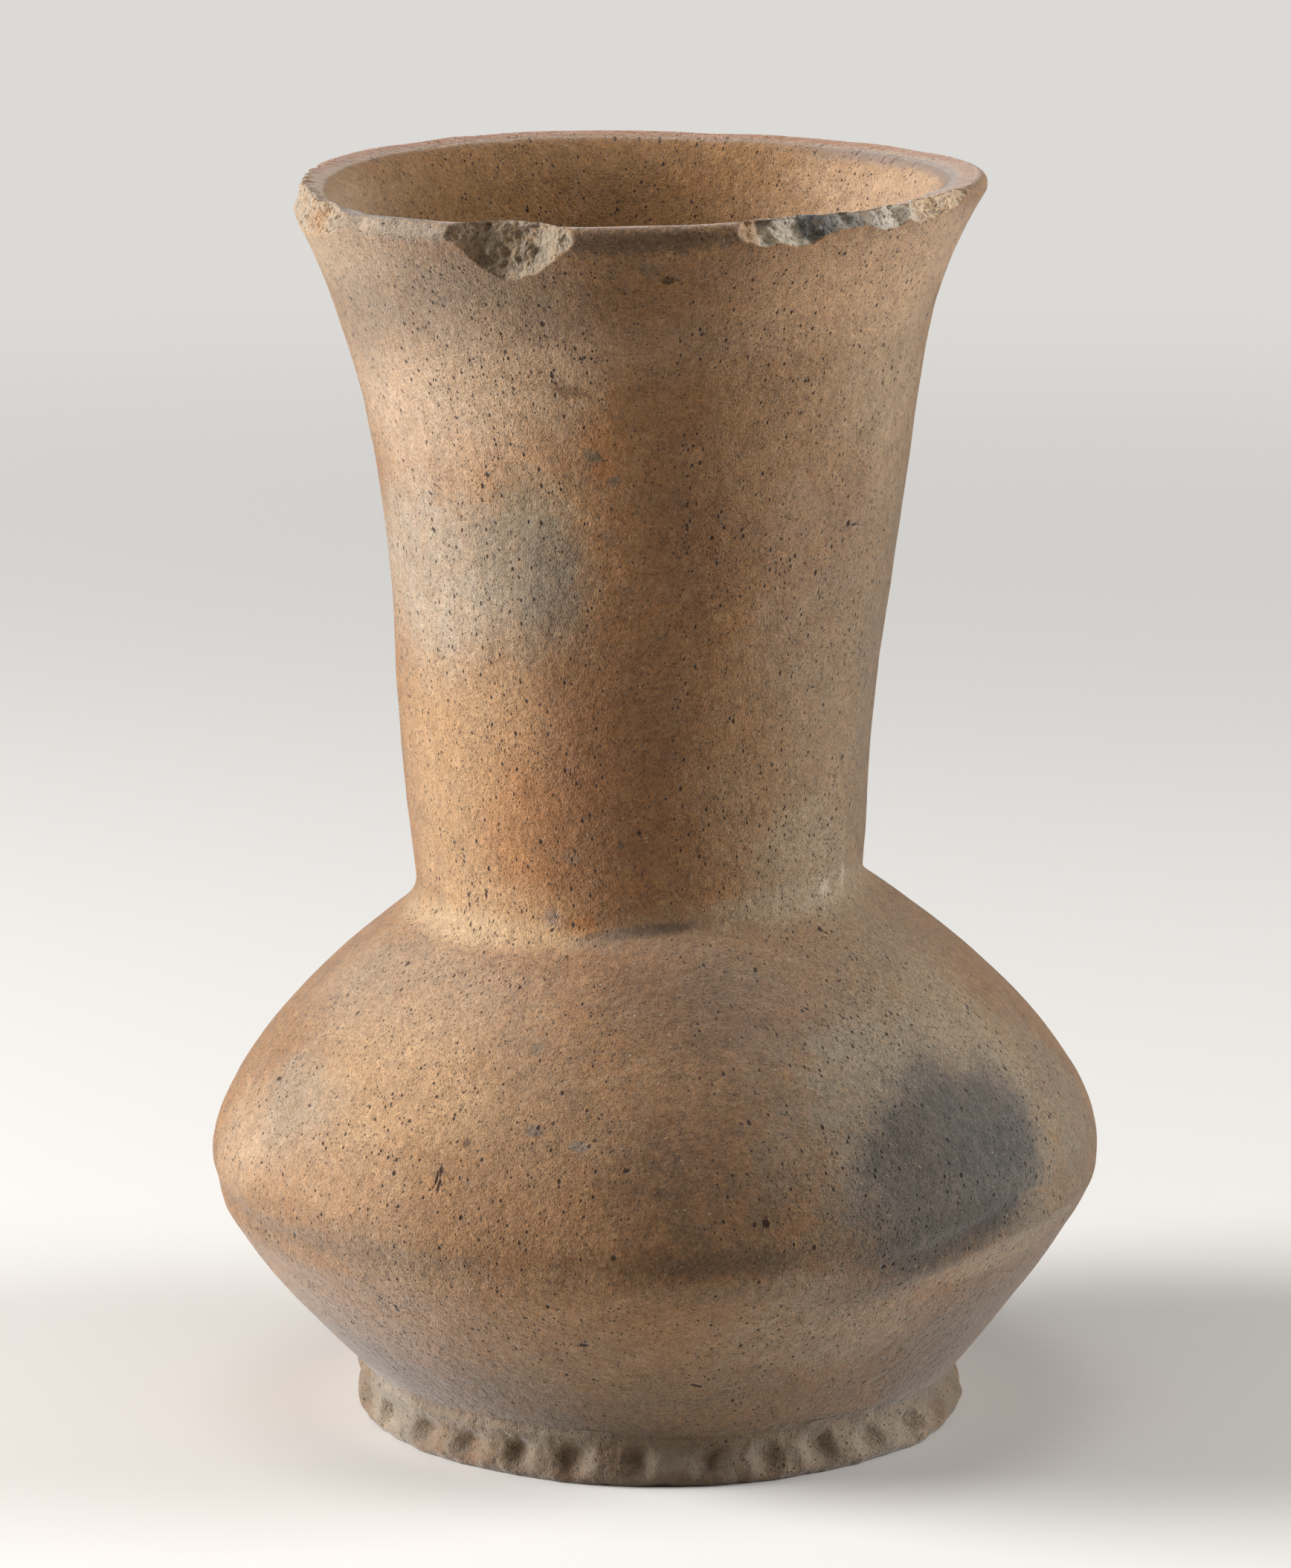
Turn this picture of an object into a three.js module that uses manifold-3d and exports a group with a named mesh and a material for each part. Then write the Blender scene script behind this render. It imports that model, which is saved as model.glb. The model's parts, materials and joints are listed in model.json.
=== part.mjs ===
// Carinated pottery bottle: a keeled body on a notched foot ring, under a tall neck that flares to the mouth.
// The vessel is hand built, from a pinched base dish and coils that meet in bevelled laps.
// Millimetres, +Z up, with the origin on the ground under the middle of the body.

import * as THREE from 'three';
import { mergeGeometries, mergeVertices } from 'three/addons/utils/BufferGeometryUtils.js';
import Module from 'manifold-3d';

const wasm = await Module();
wasm.setup();

// The whole vessel
const vesselHeight = 215;       // ground to the crest of the lip
const seamGap = 0.3;            // between pieces that touch
const seamLap = 4;              // how far a bevelled joint climbs from the inner face to the outer face
const roundFacets = 54;
const scoopFacets = 8;

// Foot ring, with the fingertip notches round it
const footRadius = 52.6;        // at its widest
const footHeight = 8;
const footWidth = 9.5;          // across its flat underside
const footBulgeHeight = 2.4;
const footEdge = 1.2;           // how far the underside stays inside the widest line
const footTaper = 0.8;          // how much narrower the ring is where the luting begins
const notchCount = 30;
const notchHeight = 7;
const notchWidth = 8;
const notchDepth = 1.7;
const notchMidHeight = 4.5;
const notchVary = 0.08;         // share by which they differ
const notchStray = 0.12;        // share of their spacing by which they stray

// Body wall, from the foot over the keel to the root of the neck
const footLedge = 1.6;          // how far the ring stands out past the wall that rises from it
const keelRadius = 76.8;
const keelHeight = 47.5;
const bodyWall = 6.5;
const lowerWallLean = 41.7;     // degrees from upright, just above the foot
const lowerWallPull = 32.7;     // how long the wall keeps that lean
const lowerKeelPull = 6.6;      // how long it runs upright under the keel
const upperKeelPull = 1;        // and over the keel, where the turn is quicker
const shoulderLean = 55;        // degrees from upright, at the root of the neck
const shoulderPull = 46.5;
const floorThickness = 6.5;
const dishRim = 6;              // how far the base dish turns up past its floor
const keelCoilHeight = 17;
const lowerCoils = 2;
const shoulderCoils = 3;

// Neck, with its foot on the shoulder
const neckRootRadius = 38.2;
const neckRootHeight = 92.5;
const neckWall = 6;
const neckTaper = 10.4;         // how much wider an even taper makes the top
const neckFlare = 10.6;         // and the flare on top of it
const flareTurn = 6;            // higher keeps the flare nearer the mouth
const neckCoils = 5;

// Lip
const lipHeight = 13;           // of the lip coil, from its joint to the crest
const lipWall = 5.5;
const lipRound = 2.6;           // drop from the crest to where the outer face begins
const lipCrest = 1.8;           // how far the crest lies inside that face
const lipSwell = 0.6;           // how far the rounding aims outside that face
const lipSlope = 0.8;           // how far the top falls towards the inner edge
const lipInnerRound = 2.4;

// Clay pressed into the two main joins
const footLutingDepth = 2.4;
const footLutingHeight = 4.4;
const footLutingHollow = 0.3;   // how far its face sinks between its two edges
const neckLutingLeg = 6;        // along the shoulder and up the neck
const neckLutingHollow = 0.9;   // how far its face sinks between the two

// What the hand left: the neck stands off centre, and its root and mouth tilt a little
const neckShift = -3;
const rootTilt = 2.6;           // degrees, down on the left
const mouthTilt = 1.4;

// Flakes lost from the outer edge of the lip: middle and width round the rim, in degrees, then depths
const lipChips = [
  { middle: -21.5, width: 22, drop: 9, bite: 2.9 },
  { middle: 27.5, width: 23, drop: 5, bite: 2.8 },
  { middle: 47, width: 14, drop: 4.2, bite: 2.5 },
  { middle: -76, width: 28, drop: 4.6, bite: 1.2 },
];

const toRadians = THREE.MathUtils.degToRad;

// Outer line of the body wall, from the foot to the root of the neck
function makeBodyLine() {
  const wallFootRadius = footRadius - footLedge;
  const lean = toRadians(lowerWallLean);
  const slope = toRadians(shoulderLean);
  const line = new THREE.Path();
  line.moveTo(wallFootRadius, footHeight + seamGap);
  line.bezierCurveTo(
    wallFootRadius + lowerWallPull * Math.sin(lean),
    footHeight + seamGap + lowerWallPull * Math.cos(lean),
    keelRadius, keelHeight - lowerKeelPull,
    keelRadius, keelHeight,
  );
  line.bezierCurveTo(
    keelRadius, keelHeight + upperKeelPull,
    neckRootRadius + shoulderPull * Math.sin(slope),
    neckRootHeight - shoulderPull * Math.cos(slope),
    neckRootRadius, neckRootHeight,
  );
  return line;
}

const bodyLine = makeBodyLine();
const bodyLength = bodyLine.getLength();
const keelAt = bodyLine.getCurveLengths()[0];

// Point of the body wall at a distance along its outer line, sunk into the wall by depth
function bodyPoint(distance, depth) {
  const u = THREE.MathUtils.clamp(distance / bodyLength, 0, 1);
  const along = bodyLine.getTangentAt(u);
  const inward = new THREE.Vector2(-along.y, along.x);
  return bodyLine.getPointAt(u).addScaledVector(inward, depth);
}

function neckRadius(z) {
  const rise = (z - neckRootHeight) / (vesselHeight - lipRound - neckRootHeight);
  return neckRootRadius + neckTaper * rise + neckFlare * Math.max(rise, 0) ** flareTurn;
}

// Inner face of the neck: the wall thins towards the lip, and is measured square to the slope
function neckInnerRadius(z) {
  const rise = (z - neckRootHeight) / (vesselHeight - neckRootHeight);
  const slope = neckRadius(z + 0.5) - neckRadius(z - 0.5);
  return neckRadius(z) - THREE.MathUtils.lerp(neckWall, lipWall, rise) * Math.hypot(1, slope);
}

const neckPoint = (z) => new THREE.Vector2(neckRadius(z), z);
const neckInnerPoint = (z) => new THREE.Vector2(neckInnerRadius(z), z);

// Evenly spaced points of a wall face, from one place to another
function facePoints(pointAt, from, to, steps) {
  const points = [];
  for (let i = 0; i <= steps; i += 1) {
    points.push(pointAt(THREE.MathUtils.lerp(from, to, i / steps)));
  }
  return points;
}

// Revolve a closed outline of (radius, height) points into a solid that stands on Z
function revolve(outline) {
  const points = THREE.ShapeUtils.area(outline) < 0 ? outline.slice().reverse() : outline.slice();
  const geometry = new THREE.LatheGeometry([...points, points[0].clone()], roundFacets);
  geometry.rotateX(Math.PI / 2);
  return weld(geometry);
}

function weld(geometry) {
  geometry.deleteAttribute('normal');
  geometry.deleteAttribute('uv');
  return mergeVertices(geometry, 1e-4);
}

function toSolid(geometry) {
  return new wasm.Manifold(new wasm.Mesh({
    numProp: 3,
    vertProperties: new Float32Array(geometry.attributes.position.array),
    triVerts: new Uint32Array(geometry.index.array),
  }));
}

function toGeometry(solid) {
  const mesh = solid.getMesh();
  const geometry = new THREE.BufferGeometry();
  geometry.setAttribute('position', new THREE.BufferAttribute(mesh.vertProperties, 3));
  geometry.setIndex(new THREE.BufferAttribute(mesh.triVerts, 1));
  return geometry;
}

function cutAway(geometry, cutters) {
  return toGeometry(toSolid(geometry).subtract(toSolid(mergeGeometries(cutters))));
}

// A round scoop with its middle on the outer face: across, in towards the axis, and up
function scoop(width, depth, height, radius, z, angle) {
  const geometry = weld(new THREE.SphereGeometry(1, scoopFacets, scoopFacets - 2));
  geometry.scale(width / 2, depth, height / 2);
  geometry.translate(0, -radius, z);
  geometry.rotateZ(angle);
  return geometry;
}

// Move a finished piece to where the hand left it
function settle(geometry) {
  const position = geometry.attributes.position;
  for (let i = 0; i < position.count; i += 1) {
    const x = position.getX(i);
    const z = position.getZ(i);
    const body = THREE.MathUtils.smoothstep(z, keelHeight, neckRootHeight);
    const neck = THREE.MathUtils.clamp((z - neckRootHeight) / (vesselHeight - neckRootHeight), 0, 1);
    const tilt = toRadians(THREE.MathUtils.lerp(rootTilt * body, mouthTilt, neck));
    position.setXYZ(i, x + neckShift * body, position.getY(i), z + x * Math.tan(tilt));
  }
  return geometry;
}

// The gap between two coils is square to their bevelled joint
function jointGap(wall) {
  return (seamGap * Math.hypot(wall, seamLap)) / wall;
}

// The base: a disc with its edge pinched up to begin the wall
const floorTop = footHeight + seamGap + floorThickness;

function floorCorner() {
  let distance = 0;
  while (bodyPoint(distance, bodyWall).y < floorTop) distance += 0.2;
  return distance;
}

const dishTop = floorCorner() + dishRim + seamLap / 2;

// The groove between foot ring and wall: its lower edge on the ring, its upper edge on the wall, its root
const grooveLow = new THREE.Vector2(footRadius - footTaper, footHeight - footLutingHeight / 2);
const grooveHigh = bodyPoint(footLutingHeight / 2, 0);
const grooveRoot = Math.min(grooveLow.x, grooveHigh.x) - footLutingDepth;

function makeBaseDish() {
  const under = footHeight + seamGap;
  return revolve([
    new THREE.Vector2(0, under),
    new THREE.Vector2(grooveRoot - seamGap, under),
    grooveHigh,
    ...facePoints((s) => bodyPoint(s, 0), footLutingHeight, dishTop + seamLap / 2, 3),
    ...facePoints((s) => bodyPoint(s, bodyWall), dishTop - seamLap / 2, floorCorner(), 2),
    new THREE.Vector2(0, floorTop),
  ]);
}

// The foot ring, a stout strip under the edge of the dish
function makeFootRing() {
  const innerRadius = footRadius - footEdge - footWidth;
  const ring = revolve([
    new THREE.Vector2(innerRadius, 0),
    new THREE.Vector2(footRadius - footEdge, 0),
    new THREE.Vector2(footRadius - footEdge / 4, footBulgeHeight / 3),
    new THREE.Vector2(footRadius, footBulgeHeight),
    grooveLow,
    new THREE.Vector2(grooveRoot, footHeight),
    new THREE.Vector2(innerRadius + footEdge, footHeight),
  ]);
  return cutAway(ring, makeNotches());
}

// Fingertip notches, no two quite alike
function makeNotches() {
  const notches = [];
  for (let i = 0; i < notchCount; i += 1) {
    const wander = Math.sin(2.4 * i);
    const step = (2 * Math.PI) / notchCount;
    notches.push(scoop(
      notchWidth * (1 + notchVary * wander), notchDepth * (1 - notchVary * wander),
      notchHeight * (1 + notchVary * wander), footRadius, notchMidHeight,
      step * (i + notchStray * Math.sin(5.1 * i)),
    ));
  }
  return notches;
}

// The worm of clay pressed into the angle between foot ring and wall
function makeFootLuting() {
  return revolve([
    new THREE.Vector2(grooveRoot + seamGap * 2, footHeight + seamGap / 2),
    new THREE.Vector2(grooveLow.x, grooveLow.y + seamGap * 2),
    new THREE.Vector2((grooveLow.x + grooveHigh.x) / 2 - footLutingHollow, footHeight),
    new THREE.Vector2(grooveHigh.x, grooveHigh.y - seamGap * 2),
  ]);
}

// One coil of the body wall between two joints. The last one ends in a level seat for the neck
function makeBodyCoil(from, to, steps, last) {
  const start = from + jointGap(bodyWall);
  const innerFrom = start - seamLap / 2;
  const outerTo = last ? bodyLength : to + seamLap / 2;
  const innerTo = last ? bodyLength : to - seamLap / 2;
  const outer = facePoints((s) => bodyPoint(s, 0), start + seamLap / 2, outerTo, steps);
  const inner = facePoints((s) => bodyPoint(s, bodyWall), innerTo, innerFrom, steps);
  return revolve([...outer, ...(last ? neckSeat(inner[0]) : []), ...inner]);
}

// Level top of the last shoulder coil, as wide as the wall of the neck that stands on it
function neckSeat(innerEnd) {
  const seatRadius = neckInnerRadius(neckRootHeight);
  const slope = toRadians(shoulderLean);
  const drop = (innerEnd.x - seatRadius) / Math.tan(slope);
  return [
    new THREE.Vector2(seatRadius, neckRootHeight),
    new THREE.Vector2(seatRadius, innerEnd.y + drop),
  ];
}

// One coil of the neck. The first stands on the level seat of the shoulder
function makeNeckCoil(from, to, steps, first) {
  const lap = first ? 0 : seamLap;
  const start = from + (first ? seamGap : jointGap(neckWall));
  return revolve([
    ...facePoints(neckPoint, start + lap / 2, to + seamLap / 2, steps),
    ...facePoints(neckInnerPoint, to - seamLap / 2, start - lap / 2, steps),
  ]);
}

// The lip coil: a rounded crest that slopes in to the mouth
function makeLip(from) {
  const start = from + jointGap(neckWall);
  const faceTop = neckPoint(vesselHeight - lipRound);
  const edge = neckInnerPoint(vesselHeight - lipSlope);
  const innerTop = neckInnerPoint(edge.y - lipInnerRound);
  const crest = new THREE.Path();
  crest.moveTo(faceTop.x, faceTop.y);
  crest.quadraticCurveTo(faceTop.x + lipSwell, vesselHeight, faceTop.x - lipCrest, vesselHeight);
  crest.lineTo(edge.x + lipInnerRound / 2, edge.y);
  crest.quadraticCurveTo(edge.x, edge.y, innerTop.x, innerTop.y);
  const lip = revolve([
    ...facePoints(neckPoint, start + seamLap / 2, faceTop.y, 3).slice(0, -1),
    ...crest.getPoints(3),
    neckInnerPoint(start - seamLap / 2),
  ]);
  return cutAway(lip, lipChips.map(chipScoop));
}

function chipScoop({ middle, width, drop, bite }) {
  const radius = neckRadius(vesselHeight - lipRound);
  const across = 2 * radius * Math.tan(toRadians(width / 2));
  return scoop(across, bite, 2 * drop, radius, vesselHeight, toRadians(middle));
}

// The fillet of clay smeared round the root of the neck
function makeNeckLuting() {
  const onShoulder = bodyPoint(bodyLength - neckLutingLeg, -seamGap);
  const onNeck = neckPoint(neckRootHeight + neckLutingLeg);
  const corner = new THREE.Vector2(neckRadius(neckRootHeight) + seamGap, neckRootHeight + seamGap);
  onNeck.x += seamGap;
  const middle = onShoulder.clone().add(onNeck).multiplyScalar(0.5);
  const sink = corner.clone().sub(middle).setLength(neckLutingHollow);
  return revolve([onShoulder, middle.add(sink), onNeck, corner]);
}

// The pieces, from the ground up
const clay = {
  tan: 0xb48b62,
  orange: 0xb9835a,
  brown: 0x9c7652,
  pale: 0xc3a681,
  smoked: 0x8c7660,
};
const vessel = new THREE.Group();

function addPiece(name, geometry, color, roughness) {
  const material = new THREE.MeshStandardMaterial({ color, roughness, metalness: 0 });
  const piece = new THREE.Mesh(settle(geometry), material);
  piece.name = name;
  vessel.add(piece);
}

const keelFrom = keelAt - keelCoilHeight / 2;
const keelTo = keelAt + keelCoilHeight / 2;
const lowerCoilHeight = (keelFrom - dishTop) / lowerCoils;
const shoulderCoilHeight = (bodyLength - keelTo) / shoulderCoils;
const neckCoilHeight = (vesselHeight - lipHeight - neckRootHeight) / neckCoils;

addPiece('foot_ring', makeFootRing(), clay.pale, 0.9);
addPiece('foot_luting', makeFootLuting(), clay.pale, 0.9);
addPiece('base_dish', makeBaseDish(), clay.brown, 0.85);
for (let i = 0; i < lowerCoils; i += 1) {
  const from = dishTop + i * lowerCoilHeight;
  addPiece(`lower_wall_coil_${i + 1}`, makeBodyCoil(from, from + lowerCoilHeight, 2, false), clay.brown, 0.8);
}
addPiece('keel_coil', makeBodyCoil(keelFrom, keelTo, 5, false), clay.brown, 0.75);
for (let i = 0; i < shoulderCoils; i += 1) {
  const from = keelTo + i * shoulderCoilHeight;
  const last = i === shoulderCoils - 1;
  addPiece(`shoulder_coil_${i + 1}`, makeBodyCoil(from, from + shoulderCoilHeight, 2, last), clay.tan, 0.75);
}
addPiece('neck_luting', makeNeckLuting(), clay.pale, 0.85);
for (let i = 0; i < neckCoils; i += 1) {
  const from = neckRootHeight + i * neckCoilHeight;
  const steps = i === neckCoils - 1 ? 3 : 2;
  const coil = makeNeckCoil(from, from + neckCoilHeight, steps, i === 0);
  addPiece(`neck_coil_${i + 1}`, coil, clay.orange, 0.78);
}
addPiece('lip_coil', makeLip(vesselHeight - lipHeight), clay.smoked, 0.85);

export default vessel;
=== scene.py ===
import json
import math

import bpy
import numpy as np
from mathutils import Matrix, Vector

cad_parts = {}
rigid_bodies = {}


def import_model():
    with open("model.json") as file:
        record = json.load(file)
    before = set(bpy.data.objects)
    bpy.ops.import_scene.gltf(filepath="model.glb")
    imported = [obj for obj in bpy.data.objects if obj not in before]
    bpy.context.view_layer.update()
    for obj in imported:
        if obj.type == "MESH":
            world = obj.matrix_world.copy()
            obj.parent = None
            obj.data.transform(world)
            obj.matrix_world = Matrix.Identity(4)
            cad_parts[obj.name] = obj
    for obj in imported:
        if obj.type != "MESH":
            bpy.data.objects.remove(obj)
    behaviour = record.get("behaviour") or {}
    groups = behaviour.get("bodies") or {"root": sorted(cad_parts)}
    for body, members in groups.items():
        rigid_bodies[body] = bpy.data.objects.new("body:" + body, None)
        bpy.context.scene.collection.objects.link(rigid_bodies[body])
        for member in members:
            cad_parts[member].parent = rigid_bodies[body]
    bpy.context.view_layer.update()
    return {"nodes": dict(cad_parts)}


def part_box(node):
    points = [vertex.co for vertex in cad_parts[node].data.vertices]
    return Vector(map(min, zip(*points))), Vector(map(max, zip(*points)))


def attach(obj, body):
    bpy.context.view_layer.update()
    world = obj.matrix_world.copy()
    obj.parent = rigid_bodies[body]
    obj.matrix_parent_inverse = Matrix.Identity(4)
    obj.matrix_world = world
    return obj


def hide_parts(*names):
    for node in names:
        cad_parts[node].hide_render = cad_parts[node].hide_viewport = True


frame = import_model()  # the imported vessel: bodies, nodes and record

# A hand-built pottery bottle. Lengths are millimetres until a mesh is made. A turn is an angle
# round the vessel in degrees, from the front and positive to the right. A height is measured from
# the ground. A place is where the clay was before the neck leant over, so that every line below is
# a plain revolve.

metre = 0.001
print("frame:", len(frame["nodes"]), "pieces of clay")


# Outline of the vessel

form = {
    "footRadius": 52.6,  # at the widest line of the foot ring
    "footBulge": 2.4,  # height of that line
    "footEdge": 1.3,  # how far the lower edge is rounded in
    "footCurve": 2.4,
    "footShoulder": 7,  # the bulge has gone back to the top radius here
    "footTopRadius": 51.3,
    "footTop": 8.3,
    "footWidth": 9.5,  # across the underside
    "wallFootRadius": 51.0,
    "lowerLean": 41.7,  # degrees from upright
    "lowerPull": 32.7,
    "keelRadius": 76.8,
    "keelHeight": 47.5,
    "lowerKeelPull": 6.6,
    "upperKeelPull": 1.0,
    "shoulderLean": 55.0,
    "shoulderPull": 46.5,
    "wall": 6.5,
    "floorTop": 14.8,
    "rootRadius": 38.2,
    "rootHeight": 92.5,
    "neckTaper": 10.4,
    "neckFlare": 10.6,
    "flareTurn": 6,  # the higher, the later the neck flares
    "neckWall": 6.0,
    "lipWall": 5.5,
    "faceTop": 212.4,  # where the outer face of the neck turns over into the lip
    "crest": 215.0,
    "neckShift": -3.0,
    "rootTilt": 2.6,  # degrees, down on the left
    "mouthTilt": 1.4,
}
# How far the middle of the vessel wanders to the right of its axis, at some heights
wander = {
    "height": (0, 12, 24, 36, 45, 57, 84, 96, 108, 120, 132, 144, 156, 168, 180, 192, 215),
    "offset": (0.3, 0.4, -0.8, -1.0, -0.4, 0.3, 0, 0.1, -0.35, -0.5, -0.3, 0.4, 0.5, 0.6, 0.3,
               -0.4, -0.5),
}


def bezier(start, pull, push, end, steps=160):
    t = np.linspace(0, 1, steps)[:, None]
    points = [np.array(p, float) for p in (start, pull, push, end)]
    return ((1 - t) ** 3 * points[0] + 3 * (1 - t) ** 2 * t * points[1]
            + 3 * (1 - t) * t * t * points[2] + t ** 3 * points[3])


def bend(t, start, pull, end):
    return (1 - t) ** 2 * start + 2 * t * (1 - t) * pull + t * t * end


def wallOutline():
    lean, slope = math.radians(form["lowerLean"]), math.radians(form["shoulderLean"])
    pull, push = form["lowerPull"], form["shoulderPull"]
    foot = (form["wallFootRadius"], form["footTop"])
    keel = (form["keelRadius"], form["keelHeight"])
    root = (form["rootRadius"], form["rootHeight"])
    lower = bezier(foot, (foot[0] + pull * math.sin(lean), foot[1] + pull * math.cos(lean)),
                   (keel[0], keel[1] - form["lowerKeelPull"]), keel)
    upper = bezier(keel, (keel[0], keel[1] + form["upperKeelPull"]),
                   (root[0] + push * math.sin(slope), root[1] - push * math.cos(slope)), root)
    return np.vstack([lower, upper[1:]])


outline = wallOutline()


def wallRadius(height):
    below = np.tan(math.radians(form["lowerLean"])) * np.minimum(height - form["footTop"], 0)
    above = np.tan(math.radians(form["shoulderLean"])) * np.maximum(height - form["rootHeight"], 0)
    return np.interp(height, outline[:, 1], outline[:, 0]) + below - above


def neckRadius(height):
    rise = (height - form["rootHeight"]) / (form["faceTop"] - form["rootHeight"])
    flare = form["neckFlare"] * np.maximum(rise, 0) ** form["flareTurn"]
    return form["rootRadius"] + form["neckTaper"] * rise + flare


def footFace(height):
    under = np.clip(1 - height / form["footBulge"], 0, 1) ** form["footCurve"] * form["footEdge"]
    over = smooth((height - form["footBulge"]) / (form["footShoulder"] - form["footBulge"]))
    drawnIn = over * (form["footRadius"] - form["footTopRadius"])
    hidden = 2 * np.maximum(height - form["footTop"], 0)
    return form["footRadius"] - under - drawnIn - hidden


def smooth(x):
    x = np.clip(x, 0, 1)
    return x * x * (3 - 2 * x)


def smoothMax(a, b, size):
    near = np.maximum(size - np.abs(a - b), 0) / size
    return np.maximum(a, b) + near * near * size / 4


def apart(turn, middle):
    return (np.asarray(turn) - middle + 180) % 360 - 180


def roundTurn(turn, table):
    # value from a table of (turn, value), carried on round the back
    return np.interp(turn, *zip(*table), period=360)


def onTurn(radius, turn, height):
    angle = np.radians(turn)
    parts = radius * np.sin(angle), -radius * np.cos(angle), height
    return np.stack(np.broadcast_arrays(*parts), -1)


def grid(heights, turn):
    # a row for each height and a column for each turn
    return heights[:, None] + 0 * turn


# Uneven clay: seeded lattice noise, from -1 to 1

grainTable = np.random.default_rng(5).uniform(-1, 1, 65536)


def lumps(place, size, seed=0):
    at = place / np.array(size)
    cell = np.floor(at).astype(np.int64)
    part = at - cell
    part = part * part * (3 - 2 * part)
    total = 0
    for corner in np.ndindex(2, 2, 2):
        weight = np.prod(np.where(np.array(corner), part, 1 - part), axis=-1)
        x, y, z = np.moveaxis(cell + np.array(corner), -1, 0)
        pick = (x * 73856093 ^ y * 19349663 ^ z * 83492791 ^ seed * 40503) & 65535
        total = total + weight * grainTable[pick]
    return total


def roughness(place, size, seed, octaves=4):
    return sum(lumps(place, size / 2 ** i, seed + i) / 1.8 ** i for i in range(octaves))


# What the maker's hands left on the outside

handwork = {
    "sizes": (34, 13, 5, 1.7),
    "depths": (0.34, 0.16, 0.06, 0.022),
    "strokeSize": (8, 8, 46),  # upright smoothing strokes on the neck
    "strokeDepth": 0.13,
    "bandSize": (40, 40, 3.5),  # level strokes on the body
    "bandDepth": 0.06,
    "change": (-4, 8),  # one gives way to the other between these, above the root of the neck
    # inside the neck: size, depth
    "inner": [((50, 50, 7), 0.3), (18, 0.25), (4, 0.07), (1.7, 0.03)],
}
rootFillet = [(-150, 3.0), (-75, 5.5), (-40, 6.5), (-12, 3.4), (10, 2.2), (32, 3.4), (75, 4.6),
              (120, 3.0)]
footFillet = [(-150, 1.8), (-80, 7.0), (-30, 6.0), (-10, 3.0), (12, 1.2), (34, 0.8), (60, 0.8),
              (120, 1.8)]
keelCrease = {
    "height": [(-180, 44), (-90, 42), (-52, 41.9), (-26, 42.9), (-5, 44.6), (12, 44.6), (35, 43.4),
               (49, 46.7), (62, 48.9), (100, 47), (140, 44)],
    "depth": [(-180, 0.3), (-60, 0.3), (-20, 0.4), (5, 0.5), (24, 0.6), (38, 0.9), (52, 1.2),
              (64, 0.9), (78, 0.4), (88, 0.1), (130, 0.3)],
    "width": 2.0,
    "wave": 0.5,
    "waveSize": 16,
    "ridgeBelow": 4.3,
    "ridgeShare": 0.75,
    "ridgeWidth": 2.0,
}


def outerPlain(height, turn):
    wall = smoothMax(wallRadius(height), footFace(height), roundTurn(turn, footFillet))
    return smoothMax(wall, neckRadius(height), roundTurn(turn, rootFillet))


def outerRadius(height, turn):
    plain = outerPlain(height, turn)
    place = onTurn(plain, turn, height)
    radius = plain.copy()
    for size, depth in zip(handwork["sizes"], handwork["depths"]):
        radius += depth * lumps(place, size, int(size))
    start, end = handwork["change"]
    onNeck = smooth((height - form["rootHeight"] - start) / (end - start))
    radius += handwork["strokeDepth"] * onNeck * lumps(place, handwork["strokeSize"], 3)
    radius += handwork["bandDepth"] * (1 - onNeck) * lumps(place, handwork["bandSize"], 4)
    crease = roundTurn(turn, keelCrease["height"])
    crease = crease + keelCrease["wave"] * lumps(place, keelCrease["waveSize"], 9)
    depth = roundTurn(turn, keelCrease["depth"])
    radius -= depth * np.exp(-((height - crease) / keelCrease["width"]) ** 2)
    ridge = (height - crease + keelCrease["ridgeBelow"]) / keelCrease["ridgeWidth"]
    radius += keelCrease["ridgeShare"] * depth * np.exp(-ridge ** 2)
    return radius


def neckInner(height, turn):
    slope = neckRadius(height + 0.5) - neckRadius(height - 0.5)
    rise = np.clip((height - form["rootHeight"]) / (form["crest"] - form["rootHeight"]), 0, 1)
    wall = form["neckWall"] + (form["lipWall"] - form["neckWall"]) * rise
    plain = neckRadius(height) - wall * np.hypot(1, slope)
    place = onTurn(plain, turn, height)
    nearLip = smooth((height - lip["thickFrom"]) / lip["thickOver"])
    radius = plain - roundTurn(turn, lipThick) * nearLip
    for seed, (size, depth) in enumerate(handwork["inner"], 21):
        radius = radius + depth * lumps(place, size, seed)
    return radius


# Foot ring: a row of fingertip notches

notches = {
    "front": (-64.6, -50.2, -38.4, -27.2, -16, -3.8, 8.8, 20.4, 31.4, 43.1, 55.7, 66.5),
    "others": 18,  # spaced round the back
    "wide": 8.0,
    "tall": 6.8,
    "deep": 1.9,
    "level": 4.0,
    "vary": 0.2,
    "squareness": 2.3,  # 2 is an oval
    "lean": 0.12,
    "lipHeight": 0.06,  # clay pushed up round each notch
    "lipAt": 1.1,
    "lipWidth": 0.2,
    "uneven": 0.25,
    "edgeWave": 0.45,  # how far the lower edge wanders in and out
}


def notchList():
    chance = np.random.default_rng(31)
    first, last = notches["front"][-1], notches["front"][0] + 360
    gap = (last - first) / (notches["others"] + 1)
    turns = list(notches["front"])
    for i in range(notches["others"]):
        turns.append(first + gap * (i + 1) + chance.uniform(-0.12, 0.12) * gap)
    for turn in turns:
        wide, tall, deep, level, lean = notches["vary"] * chance.uniform(-1, 1, 5)
        yield (turn, notches["wide"] * (1 + wide) / 2, notches["tall"] * (1 + tall / 2) / 2,
               notches["deep"] * (1 + deep), notches["level"] * (1 + level / 2), lean)


notchTable = list(notchList())


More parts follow.
